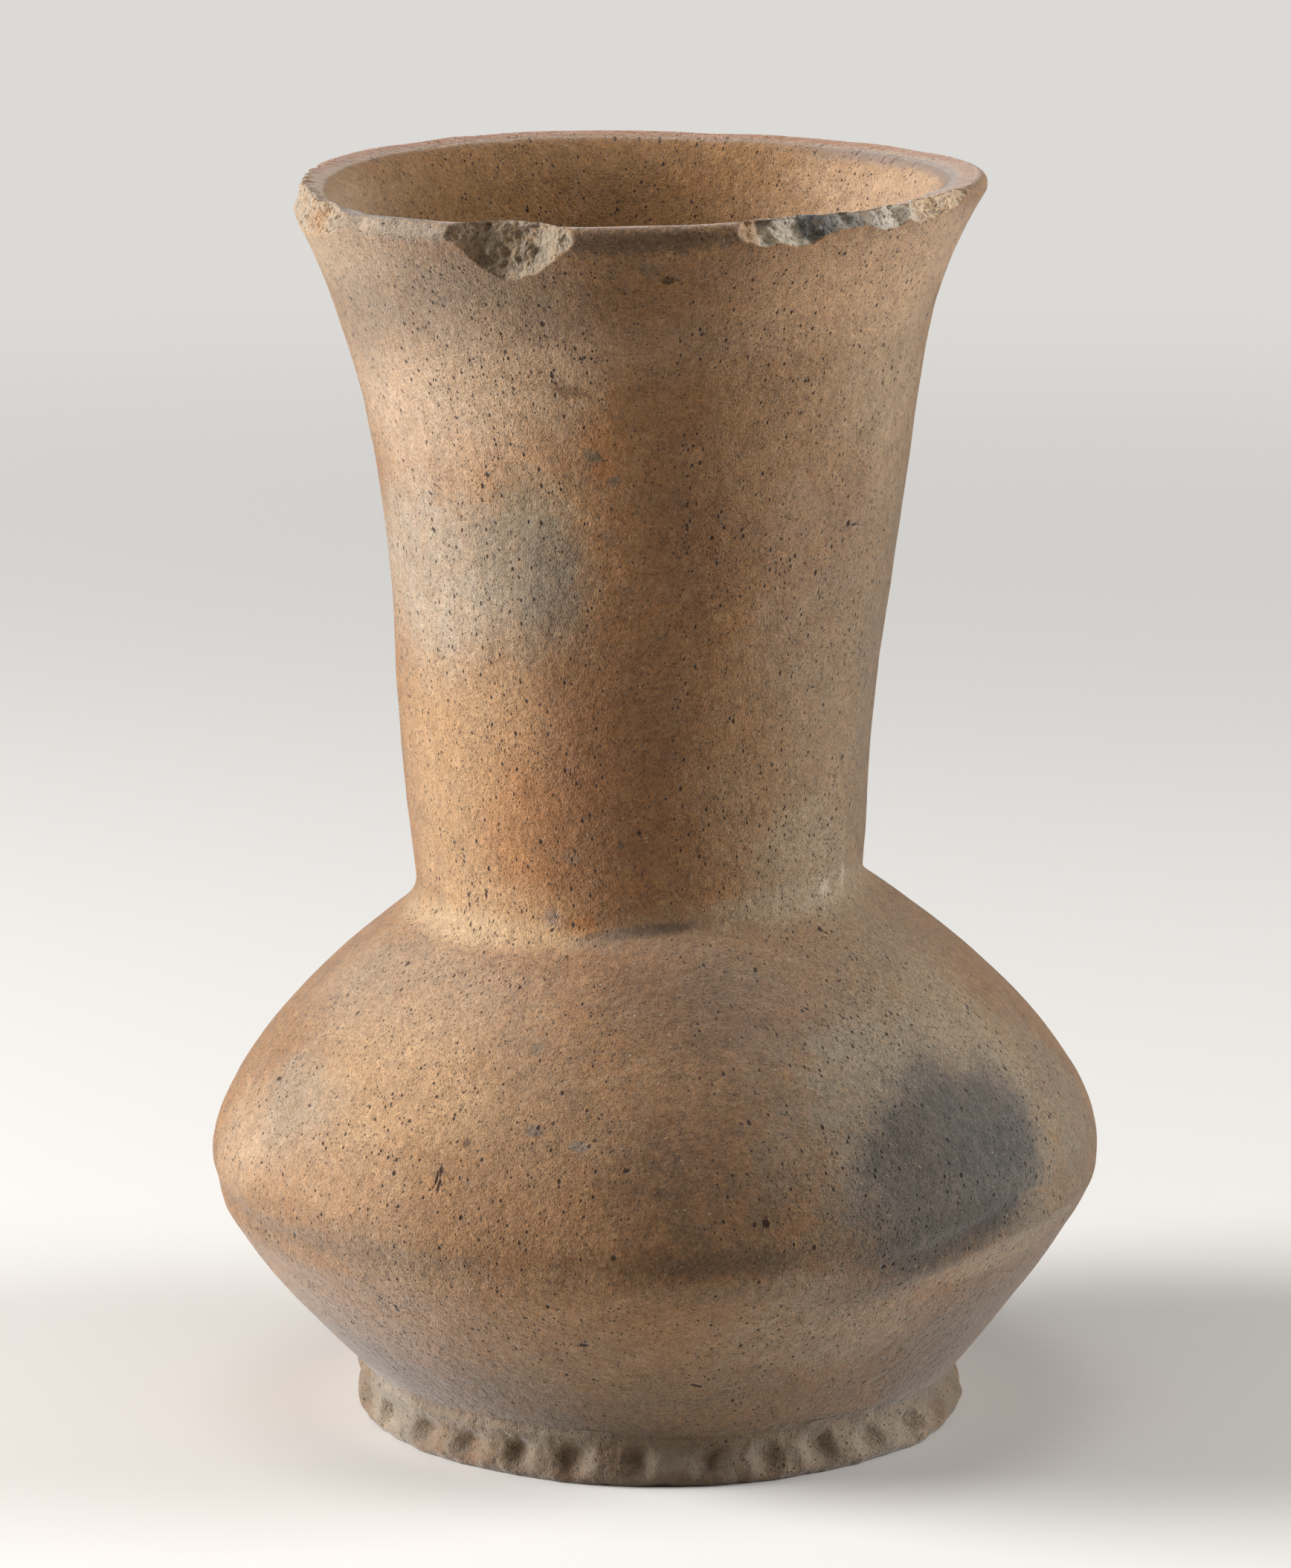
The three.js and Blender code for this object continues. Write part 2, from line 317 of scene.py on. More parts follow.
def notchDepth(height, turn):
    depth = np.zeros(np.broadcast(height, turn).shape)
    place = onTurn(form["footRadius"], turn, height)
    for middle, halfWide, halfTall, deep, level, lean in notchTable:
        across = np.radians(apart(turn, middle)) * form["footRadius"] / halfWide
        up = (height - level) / halfTall
        across = across + (lean + notches["lean"] * lumps(place, 4, 35)) * up
        power = notches["squareness"]
        far = (np.abs(across) ** power + np.abs(up) ** power) ** (1 / power)
        depth += deep * (0.5 + 0.5 * np.cos(np.pi * np.clip(far, 0, 1))) ** 0.9
        rim = (far - notches["lipAt"]) / notches["lipWidth"]
        depth -= notches["lipHeight"] * np.exp(-rim ** 2)
    edge = notches["edgeWave"] * lumps(place, 9, 34) * smooth(1 - height / notches["level"])
    uneven = lumps(place, 3.2, 32) + 0.5 * lumps(place, 1.2, 33)
    return depth + edge + notches["uneven"] * uneven


def footRadiusAt(height, turn):
    return outerRadius(height, turn) - notchDepth(height, turn)


# Lip: flakes lost from its outer edge. An outline is a list of (turn, how far below the crest)

flakes = [
    {"outline": [(-34.0, 0), (-31.6, 2.4), (-28.8, 4.8), (-26.2, 7.6), (-23.0, 9.0), (-20.4, 8.9),
                 (-17.3, 7.9), (-14.4, 6.2), (-12.0, 4.4), (-10.2, 2.6), (-9.2, 0)],
     "bite": 2.4, "rough": 1.0, "fade": 7, "worn": 0},
    {"outline": [(14.0, 0), (17, 3.0), (19.4, 4.1), (22, 4.5), (24.4, 3.9), (27, 5.0), (29.2, 4.6),
                 (32, 3.3), (35, 2.7), (38.5, 2.6), (41, 2.9), (44, 3.8), (47, 3.6), (49.5, 2.7),
                 (53, 3.9), (56, 3.3), (61, 3.0), (66, 2.4), (72, 0)],
     "bite": 2.2, "rough": 1.1, "fade": 4, "worn": 0.1},
    {"outline": [(-124, 0), (-108, 3.2), (-92, 4.6), (-78, 6.2), (-66, 5.6), (-58, 3.8), (-52, 0)],
     "bite": 1.5, "rough": 1.25, "fade": 10, "worn": 0.2},
    {"outline": [(-62, 0), (-52, 1.9), (-40, 2.1), (-31, 1.9), (-28, 0)],
     "bite": 0.8, "rough": 0.3, "fade": 5, "worn": 1},
    {"outline": [(-160, 0), (-150, 1.6), (-143, 0.9), (-136, 2.2), (-128, 1.6), (-116, 0)],
     "bite": 1.3, "rough": 0.9, "fade": 3, "worn": 0.3},
]
nibbles = {"count": 52, "wide": (1.5, 5.5), "drop": (0.5, 1.7), "bite": 0.9, "rough": 0.3}
# relief of the broken faces and of the edges of flakes: size and depth. How far in a flake reaches
# at most, in bites, and how deep a cut has to be to show fully
breakage = {"coarse": (3.4, 0.7), "fine": (1.3, 0.35), "edge": (2.6, 0.35), "reach": 1.6,
            "fullAt": 0.5}
# how far the lip is thicker than the neck, on its inner side
lipThick = [(-180, 0), (-130, 0.6), (-90, 1.2), (-50, 0.3), (40, 0.2), (72, 1.6), (105, 1.7),
            (150, 0)]
# how far the lip rises and dips round the back
lipRise = [(-180, 0.4), (-163, 1.0), (-138, 1.4), (-115, 1.3), (-95, 0.6), (-70, 0), (70, 0),
           (100, -0.3), (118, -0.6), (135, -0.9), (152, -0.9), (167, -0.4)]
lip = {
    "crestIn": 1.8,  # the crest stands this far inside the outer face
    "crestOut": 0.6,
    "topFall": 0.8,  # the top slopes down to the mouth
    "innerRound": 2.4,
    "wave": 0.45,  # how uneven the crest is
    # heights where unevenness and thickness begin, and how far up they reach their full size
    "waveFrom": 205, "waveOver": 8, "thickFrom": 200, "thickOver": 12, "riseOver": 10,
    "faceRows": 70, "roundRows": 24, "innerRows": 50,
    "rows": 90,  # after the flakes are cut
    "innerFrom": 0.62,  # beyond this share of them the rows stand twice as far apart
}


def flakeList():
    chance = np.random.default_rng(12)
    small = []
    for i in range(nibbles["count"]):
        middle = chance.uniform(-180, 180)
        half = chance.uniform(*nibbles["wide"]) / 2
        drop = chance.uniform(*nibbles["drop"])
        outline = [(middle - half, 0), (middle, drop), (middle + half, 0)]
        small.append(dict(nibbles, outline=outline, fade=half / 2, worn=0))
    return flakes + small


def lipSection(turn):
    # radius and height all round the section of the lip, outside first, one column for each turn,
    # and how far each point lies over the crest, outside negative
    crest, top = form["crest"], form["crest"] - lip["topFall"]
    low = top - lip["innerRound"]
    start, end = joints["lip_coil"] + halfLap, joints["lip_coil"] - halfLap
    outside = grid(np.linspace(start, form["faceTop"], lip["faceRows"]), turn)
    inside = grid(np.linspace(low, end, lip["innerRows"])[1:], turn)
    face = outerRadius(outside, turn)
    edge = face[-1]
    mouth = neckInner(np.full_like(turn, top), turn)
    inner = neckInner(np.full_like(turn, low), turn)
    t = np.linspace(0, 1, lip["roundRows"])[1:, None]
    radius = np.vstack([face, bend(t, edge, edge + lip["crestOut"], edge - lip["crestIn"]),
                        (1 - t) * (edge - lip["crestIn"]) + t * (mouth + 1),
                        bend(t, mouth + 1, mouth, inner), neckInner(inside, turn)])
    height = np.vstack([outside, bend(t, form["faceTop"], crest, crest) + 0 * turn,
                        crest - t * lip["topFall"] + 0 * turn,
                        bend(t, top, top, low) + 0 * turn, inside])
    wave = onTurn(form["footRadius"], turn, 0)
    uneven = lip["wave"] * (lumps(wave, 22, 41) + 0.4 * lumps(wave, 7, 42))
    rise = roundTurn(turn, lipRise) * smooth((height - start) / lip["riseOver"])
    height += uneven * smooth((height - lip["waveFrom"]) / lip["waveOver"]) + rise
    step = np.hypot(np.diff(radius, axis=0), np.diff(height, axis=0))
    overLip = np.vstack([np.zeros(len(turn)), np.cumsum(step, 0)])
    crestRow = lip["faceRows"] + lip["roundRows"] - 2
    return radius, height, overLip - overLip[crestRow]


def breakFlakes(radius, height, turn):
    broken = np.zeros_like(radius)
    for number, flake in enumerate(flakeList()):
        turns, drops = zip(*flake["outline"])
        around = apart(turn, np.mean(turns)) + np.mean(turns)
        columns = np.where((around > turns[0]) & (around < turns[-1]))[0]
        if not len(columns):
            continue
        around = around[columns]
        old, level = radius[:, columns], height[:, columns]
        place = onTurn(old, turn[columns], level)
        size, share = breakage["edge"]
        drop = np.interp(around, turns, drops)
        drop = drop + share * flake["rough"] * roughness(place[0], size, 60 + number)
        drop = np.maximum(drop, 0.05)
        lowest = form["crest"] - drop
        start = outerRadius(lowest[None, :], turn[columns])
        up = np.clip((level - lowest) / drop, 0, 1.2)
        ends = np.minimum(around - turns[0], turns[-1] - around)
        fade = smooth(np.radians(ends) * form["footRadius"] / flake["fade"])
        depth = flake["bite"] * fade * up ** 0.65 * np.minimum(drop / max(drops), 1) ** 0.5
        size, share = breakage["coarse"]
        relief = share * roughness(place, size, 70 + number)
        size, share = breakage["fine"]
        relief += share * roughness(place, size, 80 + number, 2)
        limit = start - depth + flake["rough"] * np.clip(up * 5, 0, 1) * relief
        cut = old - limit
        hit = (up > 0) & (cut > 0) & (old > start - flake["bite"] * breakage["reach"])
        radius[:, columns] = np.where(hit, limit, old)
        shown = np.clip(cut / breakage["fullAt"], 0, 1) * (1 - flake["worn"])
        broken[:, columns] = np.maximum(broken[:, columns], np.where(hit, shown, 0))
    return broken


# From lines to meshes

wallTurn = np.arange(720) / 2 - 180  # round the walls
edgeTurn = np.arange(1080) / 3 - 180  # round the lip and the foot, where the detail is finer
halfLap = 2.0  # joints climb this far to either side, from the inner face to the outer face
bodyPieces = ["base_dish", "lower_wall_coil_1", "lower_wall_coil_2", "keel_coil",
              "shoulder_coil_1", "shoulder_coil_2", "shoulder_coil_3"]
neckPieces = ["neck_coil_1", "neck_coil_2", "neck_coil_3", "neck_coil_4", "neck_coil_5"]
# height of the joint under each piece, taken from the frame
joints = {}
for stack in bodyPieces, neckPieces + ["lip_coil"]:
    for below, above in zip(stack, stack[1:]):
        joints[above] = (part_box(below)[1].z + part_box(above)[0].z) / 2 / metre
luting = {"footLow": 5.9, "footHigh": 9.9, "rootLow": 89.0, "rootHigh": 98.6}
# millimetres between rows
spacing = {"foot": 0.28, "dish": 0.5, "wall": 0.6, "root": 0.4, "bodyInside": 4.0,
           "neckInside": 1.0}
# inside and under the foot ring: how far out from its inner radius, height, share of the unevenness
footBack = [(1.2, 8.0, 0), (0.3, 7.2, 1), (0, 5.0, 1), (0.1, 2.6, 1), (0.5, 1.0, 1), (1.2, 0.25, 1),
            (2.4, 0.02, 0), (4.5, 0, 0), (7, 0, 0)]


def settle(place):
    x, y, z = np.moveaxis(place, -1, 0)
    body = smooth((z - form["keelHeight"]) / (form["rootHeight"] - form["keelHeight"]))
    neck = np.clip((z - form["rootHeight"]) / (form["crest"] - form["rootHeight"]), 0, 1)
    tilt = np.radians(form["rootTilt"] * body * (1 - neck) + form["mouthTilt"] * neck)
    side = form["neckShift"] * body + np.interp(z, wander["height"], wander["offset"])
    return np.stack([x + side, y, z + x * np.tan(tilt)], -1)


def lineLength(heights):
    # how far along the outer line each height lies from the first
    steps = np.hypot(np.diff(outerPlain(heights, 0.0)), np.diff(heights))
    return np.concatenate([[0], np.cumsum(steps)])


def heightsBetween(low, high, gap):
    # heights whose points lie evenly along the outer line
    fine = np.linspace(low, high, 400)
    along = lineLength(fine)
    rows = max(int(round(along[-1] / gap)), 2)
    return np.interp(np.linspace(0, along[-1], rows + 1), along, fine)


def alongWall(radius, height):
    # distance of each point along the outer line, for pits that run up and down the wall
    fine = np.linspace(-2, form["crest"] + 3, 900)
    inward = np.abs(np.interp(height, fine, outerPlain(fine, 0.0)) - radius)
    return np.interp(height, fine, lineLength(fine)) + inward


def unit(vectors):
    return vectors / np.maximum(np.linalg.norm(vectors, axis=-1, keepdims=True), 1e-9)


def edgeNormals(face, height, turn, direction=1):
    # normals along one ring, from the face on both sides, so that pieces that meet shade alike
    rings = []
    for level in (height - 0.25, height, height + 0.25):
        rings.append(settle(onTurn(face(np.full_like(turn, level), turn), turn, level)))
    around = np.roll(rings[1], -1, 0) - np.roll(rings[1], 1, 0)
    return unit(np.cross(around, (rings[2] - rings[0]) * direction))


def rowsOf(rings, turn, part):
    # rows of radius or of height, each given as a number, a ring of numbers or a grid
    rows = [np.atleast_2d(ring[part]) for ring in rings]
    return np.vstack([np.broadcast_to(row, (len(row), len(turn))) for row in rows])


def setField(mesh, label, kind, field, values):
    values = np.asarray(values, np.float32).ravel()
    mesh.attributes.new(label, kind, "POINT").data.foreach_set(field, values)


def makePiece(name, turn, rings, fixed, painted=None, capped=False):
    # a closed ring of clay from the rows of its section. Capped pieces close on the axis instead
    radius, height = rowsOf(rings, turn, 0), rowsOf(rings, turn, 1)
    rows, steps = radius.shape
    place = onTurn(radius, turn, height)
    settled = settle(place)
    around = np.roll(settled, -1, 1) - np.roll(settled, 1, 1)
    along = np.roll(settled, -1, 0) - np.roll(settled, 1, 0)
    normals = unit(np.cross(around, along))
    for row, ring in fixed.items():
        normals[row] = ring
    index = np.arange(rows * steps).reshape(rows, steps)
    upper = np.roll(index, -1, 0)
    quads = np.stack([index, np.roll(index, -1, 1), np.roll(upper, -1, 1), upper], -1)
    origins, points, shading = [a.reshape(-1, 3) for a in (place, settled, normals)]
    faces = quads.reshape(-1, 4).tolist()
    if capped:
        down, up = (0, 0, -1), (0, 0, 1)
        shading[:steps], shading[-steps:] = down, up
        shading = np.vstack([shading, down, up])
        ends = np.stack([onTurn(0, 0, height[0, 0]), onTurn(0, 0, height[-1, 0])])
        origins, points = np.vstack([origins, ends]), np.vstack([points, settle(ends)])
        bottom, top = np.full(steps, rows * steps), np.full(steps, rows * steps + 1)
        faces = faces[:-steps]
        faces += np.stack([bottom, np.roll(index[0], -1), index[0]], -1).tolist()
        faces += np.stack([top, index[-1], np.roll(index[-1], -1)], -1).tolist()
    mesh = bpy.data.meshes.new(name)
    mesh.from_pydata(points * metre, [], faces)
    mesh.shade_smooth()
    mesh.validate()
    setField(mesh, "clayPlace", "FLOAT_VECTOR", "vector", origins * metre)
    for label, values in (painted or {}).items():
        setField(mesh, label, "FLOAT", "value", values)
    along = alongWall(np.hypot(origins[:, 0], origins[:, 1]), origins[:, 2])
    setField(mesh, "along", "FLOAT", "value", along)
    mesh.normals_split_custom_set_from_vertices(shading.tolist())
    piece = bpy.data.objects.new(name + "_clay", mesh)
    bpy.context.scene.collection.objects.link(piece)
    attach(piece, "root")
    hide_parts(name)
    return piece


def wallInner(height, turn):
    # inner face of the body wall, square to the outer line
    slope = wallRadius(height + 0.5) - wallRadius(height - 0.5)
    return wallRadius(height) - form["wall"] * np.hypot(1, slope) + 0 * turn


def innerAt(height, turn):
    body, neck = wallInner(height, turn), neckInner(height, turn)
    return np.where(np.asarray(height) < form["rootHeight"] - 3, np.maximum(body, neck), neck)


def makeBand(name, turn, low, high, gap, before=(), after=(), face=outerRadius,
             meets=("low", "high"), capped=False):
    # a piece whose outer face runs from low to high, with the rings that close its section before
    # and after that face. Where it meets the next piece its normals come from the face itself
    outer = grid(heightsBetween(low, high, gap), turn)
    first, last = len(before), len(before) + len(outer) - 1
    seams = {"low": (first, face, low, 1), "high": (last, face, high, 1),
             "innerHigh": (last + 1, innerAt, high - 2 * halfLap, -1),
             "innerLow": (-1, innerAt, low - 2 * halfLap, -1)}
    fixed = {}
    for seam in meets:
        row, line, level, direction = seams[seam]
        fixed[row] = edgeNormals(line, level, turn, direction)
    rings = [*before, (face(outer, turn), outer), *after]
    return makePiece(name, turn, rings, fixed, capped=capped)


def makeCoil(name, low, high, gap):
    innerHigh, innerLow = high - 2 * halfLap, low - 2 * halfLap
    rows = max(int(round((innerHigh - innerLow) / gap)), 2)
    inner = grid(np.linspace(innerHigh, innerLow, rows + 1), wallTurn)
    return makeBand(name, wallTurn, low, high, spacing["wall"],
                    after=[(innerAt(inner, wallTurn), inner)],
                    meets=("low", "high", "innerHigh", "innerLow"))


def makeFootRing():
    inner = form["footRadius"] - form["footEdge"] - form["footWidth"]
    uneven = 0.35 * lumps(onTurn(inner, edgeTurn, 0), 9, 51)
    back = [(form["footTopRadius"] - 2.6, form["footTop"] - 0.3)]
    back += [(inner + out + share * uneven, level) for out, level, share in footBack]
    return makeBand("foot_ring", edgeTurn, 0.05, luting["footLow"], spacing["foot"],
                    after=back, face=footRadiusAt, meets=("high",))


def makeFootLuting():
    low, high, top = luting["footLow"], luting["footHigh"], form["footTopRadius"]
    back = [(top - 0.8, high - 0.7), (top - 2.4, form["footTop"]), (top - 1.4, low + 0.4)]
    return makeBand("foot_luting", edgeTurn, low, high, spacing["foot"], after=back,
                    face=footRadiusAt)


def makeBaseDish():
    low, high = luting["footHigh"], joints["lower_wall_coil_1"]
    under, floor = form["footTop"], form["floorTop"]
    inner = grid(np.linspace(high - 2 * halfLap, floor + 1.5, 6), wallTurn)
    corner = wallInner(floor + 1.5, 0.0)
    before = []
    for r in (2, 8, 16, 24, 32, 40, 44):
        before.append((r, under + 0.15 * lumps(onTurn(r, wallTurn, 0), 11, 52)))
    before += [(48.2, under), (form["footTopRadius"] - 1.2, low - 0.6)]
    after = [(innerAt(inner, wallTurn), inner), (corner - 1.2, floor + 0.4)]
    after += [(r, floor) for r in (corner - 3, 30, 16, 2)]
    return makeBand("base_dish", wallTurn, low, high, spacing["dish"], before, after,
                    capped=True)


def makeTopShoulder():
    low, high, root = joints["shoulder_coil_3"], luting["rootLow"], form["rootHeight"]
    seat = float(neckInner(root, 0.0))
    inner = grid(np.linspace(root - 6, low - 2 * halfLap, 8), wallTurn)
    back = [(form["rootRadius"] + 1.0, root - 2.0), (form["rootRadius"] - 0.6, root), (seat, root),
            (seat, root - 3), (wallInner(inner, wallTurn), inner)]
    return makeBand("shoulder_coil_3", wallTurn, low, high, spacing["wall"],
                    after=back)


def makeNeckLuting():
    low, high, root = luting["rootLow"], luting["rootHigh"], form["rootHeight"]
    back = [(neckRadius(high - 1) - 0.9, high - 1), (form["rootRadius"] - 0.3, root + 0.4),
            (form["rootRadius"] + 1.2, root - 1.4),
            (outerPlain(low + 0.6, wallTurn) - 1.0, low + 0.3)]
    return makeBand("neck_luting", wallTurn, low, high, spacing["root"], after=back)


def makeFirstNeckCoil():
    low, high, root = luting["rootHigh"], joints["neck_coil_2"] + halfLap, form["rootHeight"] + 0.3
    inner = grid(np.linspace(high - 2 * halfLap, root, 14), wallTurn)
    before = [(neckRadius(root) - 0.7, root), (neckRadius(low - 1) - 1.2, low - 1)]
    after = [(neckInner(inner, wallTurn), inner)]
    return makeBand("neck_coil_1", wallTurn, low, high, spacing["wall"], before, after,
                    meets=("low", "high", "innerHigh"))


def makeLip():
    turn = edgeTurn
    radius, height, overLip = lipSection(turn)
    broken = breakFlakes(radius, height, turn)
    # spread the rows evenly again, since a flake leaves its columns longer or shorter
    step = np.hypot(np.diff(radius, axis=0), np.diff(height, axis=0))
    inward = np.linspace(0, 1, len(step))[:, None]
    step = step * np.where(inward < lip["innerFrom"], 1.0, 0.5) + 1e-6
    along = np.vstack([np.zeros(len(turn)), np.cumsum(step, 0)])
    even = np.empty((4, lip["rows"], len(turn)))
    for column in range(len(turn)):
        spots = np.linspace(0, along[-1, column], lip["rows"])
        for part, values in enumerate((radius, height, broken, overLip)):
            even[part, :, column] = np.interp(spots, along[:, column], values[:, column])
    fixed = {0: edgeNormals(outerRadius, joints["lip_coil"] + halfLap, turn),
             -1: edgeNormals(innerAt, joints["lip_coil"] - halfLap, turn, -1)}
    return makePiece("lip_coil", turn, [(even[0], even[1])], fixed,
                     {"broken": even[2], "overLip": even[3]})


def makeVessel():
    pieces = {"foot": [makeFootRing(), makeFootLuting()], "body": [makeBaseDish()], "neck": []}
    tops = [joints[name] for name in bodyPieces[1:]]
    for name, low, high in zip(bodyPieces[1:-1], tops, tops[1:]):
        pieces["body"].append(makeCoil(name, low, high, spacing["bodyInside"]))
    pieces["body"].append(makeTopShoulder())
    print("body: foot, dish and coils made")
    pieces["neck"] += [makeNeckLuting(), makeFirstNeckCoil()]
    tops = [joints[name] + halfLap for name in neckPieces[1:] + ["lip_coil"]]
    for name, low, high in zip(neckPieces[1:], tops, tops[1:]):
        pieces["neck"].append(makeCoil(name, low, high, spacing["neckInside"]))
    pieces["lip"] = [makeLip()]
    print("neck and lip made")
    return pieces


# Shader helpers. Each one that adds nodes gives back an output, or all the outputs of its node

def plug(tree, node, sockets):
    for name, value in sockets.items():
        if isinstance(value, bpy.types.NodeSocket):
            tree.links.new(value, node.inputs[name])
        else:
            node.inputs[name].default_value = value
    return node.outputs


def addNode(tree, kind, sockets, **settings):
    node = tree.nodes.new("ShaderNode" + kind)
    for name, value in settings.items():
        setattr(node, name, value)
    return plug(tree, node, sockets)


def useGroup(tree, group, **sockets):
    return addNode(tree, "Group", sockets, node_tree=group)


def calc(tree, operation, *values):
    return addNode(tree, "Math", dict(enumerate(values)), operation=operation)[0]


def times(tree, a, b):
    return calc(tree, "MULTIPLY", a, b)


def minus(tree, a, b):
    return calc(tree, "SUBTRACT", a, b)


def timesPlus(tree, a, b, c):
    return calc(tree, "MULTIPLY_ADD", a, b, c)


def addUp(tree, parts, shares):
    total = 0.0
    for part, share in zip(parts, shares):
        total = timesPlus(tree, part, share, total)
    return total


def away(tree, value, middle):
    return calc(tree, "ABSOLUTE", minus(tree, value, middle))


def vectorCalc(tree, operation, *vectors, **sockets):
    sockets.update(enumerate(vectors))
    return addNode(tree, "VectorMath", sockets, operation=operation)


def ramp(tree, value, low, high, toLow=0.0, toHigh=1.0, kind="SMOOTHSTEP"):
    sockets = {"Value": value, "From Min": low, "From Max": high, "To Min": toLow, "To Max": toHigh}
    return addNode(tree, "MapRange", sockets, interpolation_type=kind)[0]


def layer(tree, amount, under, over, blend="MIX"):
    sockets = {0: amount, 6: under, 7: over}
    return addNode(tree, "Mix", sockets, data_type="RGBA", blend_type=blend)[2]


def noise(tree, place, size, detail=2.0):
    sockets = {"Vector": place, "Scale": 1 / size, "Detail": detail, "Roughness": 0.55}
    return addNode(tree, "TexNoise", sockets)[0]


def colour(text):
    # "#rrggbb" as painted, to the linear values that a socket takes
    parts = [int(text[i:i + 2], 16) / 255 for i in (1, 3, 5)]
    return [c / 12.92 if c <= 0.04045 else ((c + 0.055) / 1.055) ** 2.4 for c in parts] + [1.0]


def paintOver(tree, tone, mask, share, paint):
    return layer(tree, times(tree, mask, share), tone, colour(paint))


socketKinds = {"Place": "Vector", "Wall": "Vector", "Stretch": "Vector", "Color": "Color"}


def startGroup(name, inputs, outputs):
    # sockets are plain values unless socketKinds says otherwise
    tree = bpy.data.node_groups.new(name, "ShaderNodeTree")
    for side, labels in (("INPUT", inputs), ("OUTPUT", outputs)):
        for label in labels:
            kind = "NodeSocket" + socketKinds.get(label, "Float")
            tree.interface.new_socket(label, in_out=side, socket_type=kind)
    return tree, tree.nodes.new("NodeGroupInput").outputs, tree.nodes.new("NodeGroupOutput").inputs


def send(tree, out, **values):
    for name, value in values.items():
        tree.links.new(value, out[name])
    return tree


def makeWhereGroup():
    # where a point of the clay lies, with noise for the ragged edge of a mark
    tree, given, out = startGroup("whereOnVessel", (), (
        "Place", "Wall", "Turn", "Height", "Ragged", "Frayed", "Mottle"))
    stored = addNode(tree, "Attribute", {}, attribute_name="clayPlace")["Vector"]
    place = vectorCalc(tree, "SCALE", stored, Scale=1 / metre)[0]
    x, y, z = addNode(tree, "SeparateXYZ", {0: place})
    turn = calc(tree, "DEGREES", calc(tree, "ARCTAN2", x, times(tree, y, -1.0)))
    # the wall as if it were a plain cylinder, upright along the wall
    along = addNode(tree, "Attribute", {}, attribute_name="along")["Fac"]
    around = vectorCalc(tree, "NORMALIZE", addNode(tree, "CombineXYZ", {0: x, 1: y})[0])[0]
    around = vectorCalc(tree, "SCALE", around, Scale=form["footRadius"])[0]
    wall = vectorCalc(tree, "ADD", around, addNode(tree, "CombineXYZ", {2: along})[0])[0]
    wide = timesPlus(tree, noise(tree, place, 14, 4.0), 1.9, -0.95)
    fine = timesPlus(tree, noise(tree, place, 1.6, 3.0), 1.0, -0.5)
    return send(tree, out, Place=place, Wall=wall, Turn=turn, Height=z,
                Ragged=calc(tree, "ADD", wide, fine),
                Frayed=timesPlus(tree, noise(tree, place, 0.7, 3.0), 2.4, -1.2),
                Mottle=ramp(tree, noise(tree, place, 2.8, 3.0), 0.36, 0.64))


def makeMarkGroup():
    # soft-edged oval at a turn and height on the vessel
    tree, given, out = startGroup("placedMark", (
        "Turn", "Height", "Ragged", "Middle", "Level", "Wide", "Tall", "Slant", "Soft", "Rough",
        "Broken"), ("Mask",))
    across = calc(tree, "WRAP", minus(tree, given["Turn"], given["Middle"]), 180.0, -180.0)
    across = calc(tree, "DIVIDE", across, given["Wide"])
    up = calc(tree, "DIVIDE", minus(tree, given["Height"], given["Level"]), given["Tall"])
    up = timesPlus(tree, across, given["Slant"], up)
    far = calc(tree, "SQRT", timesPlus(tree, across, across, times(tree, up, up)))
    far = timesPlus(tree, given["Ragged"], given["Rough"], far)
    low = minus(tree, 1.0, given["Soft"])
    mask = ramp(tree, far, calc(tree, "ADD", 1.0, given["Soft"]), low)
    return send(tree, out, Mask=times(tree, mask, minus(tree, 1.0, given["Broken"])))


def makePitGroup():
    # scattered pits where temper has fallen out, longer one way where the clay was wiped
    tree, given, out = startGroup("temperPits", (
        "Place", "Stretch", "Cell", "Share", "Size"), ("Mask",))
    place = vectorCalc(tree, "DIVIDE", given["Place"], given["Stretch"])[0]
    scale = calc(tree, "DIVIDE", 1.0, given["Cell"])
    cells = addNode(tree, "TexVoronoi", {"Vector": place, "Scale": scale, "Randomness": 1.0})
    chance = addNode(tree, "SeparateColor", {0: cells["Color"]})
    size = times(tree, given["Size"], timesPlus(tree, chance[1], 0.65, 0.35))
    size = calc(tree, "DIVIDE", size, given["Cell"])
    mask = ramp(tree, cells["Distance"], size, times(tree, size, 0.5))
    there = calc(tree, "LESS_THAN", chance[0], given["Share"])
    return send(tree, out, Mask=times(tree, mask, there))
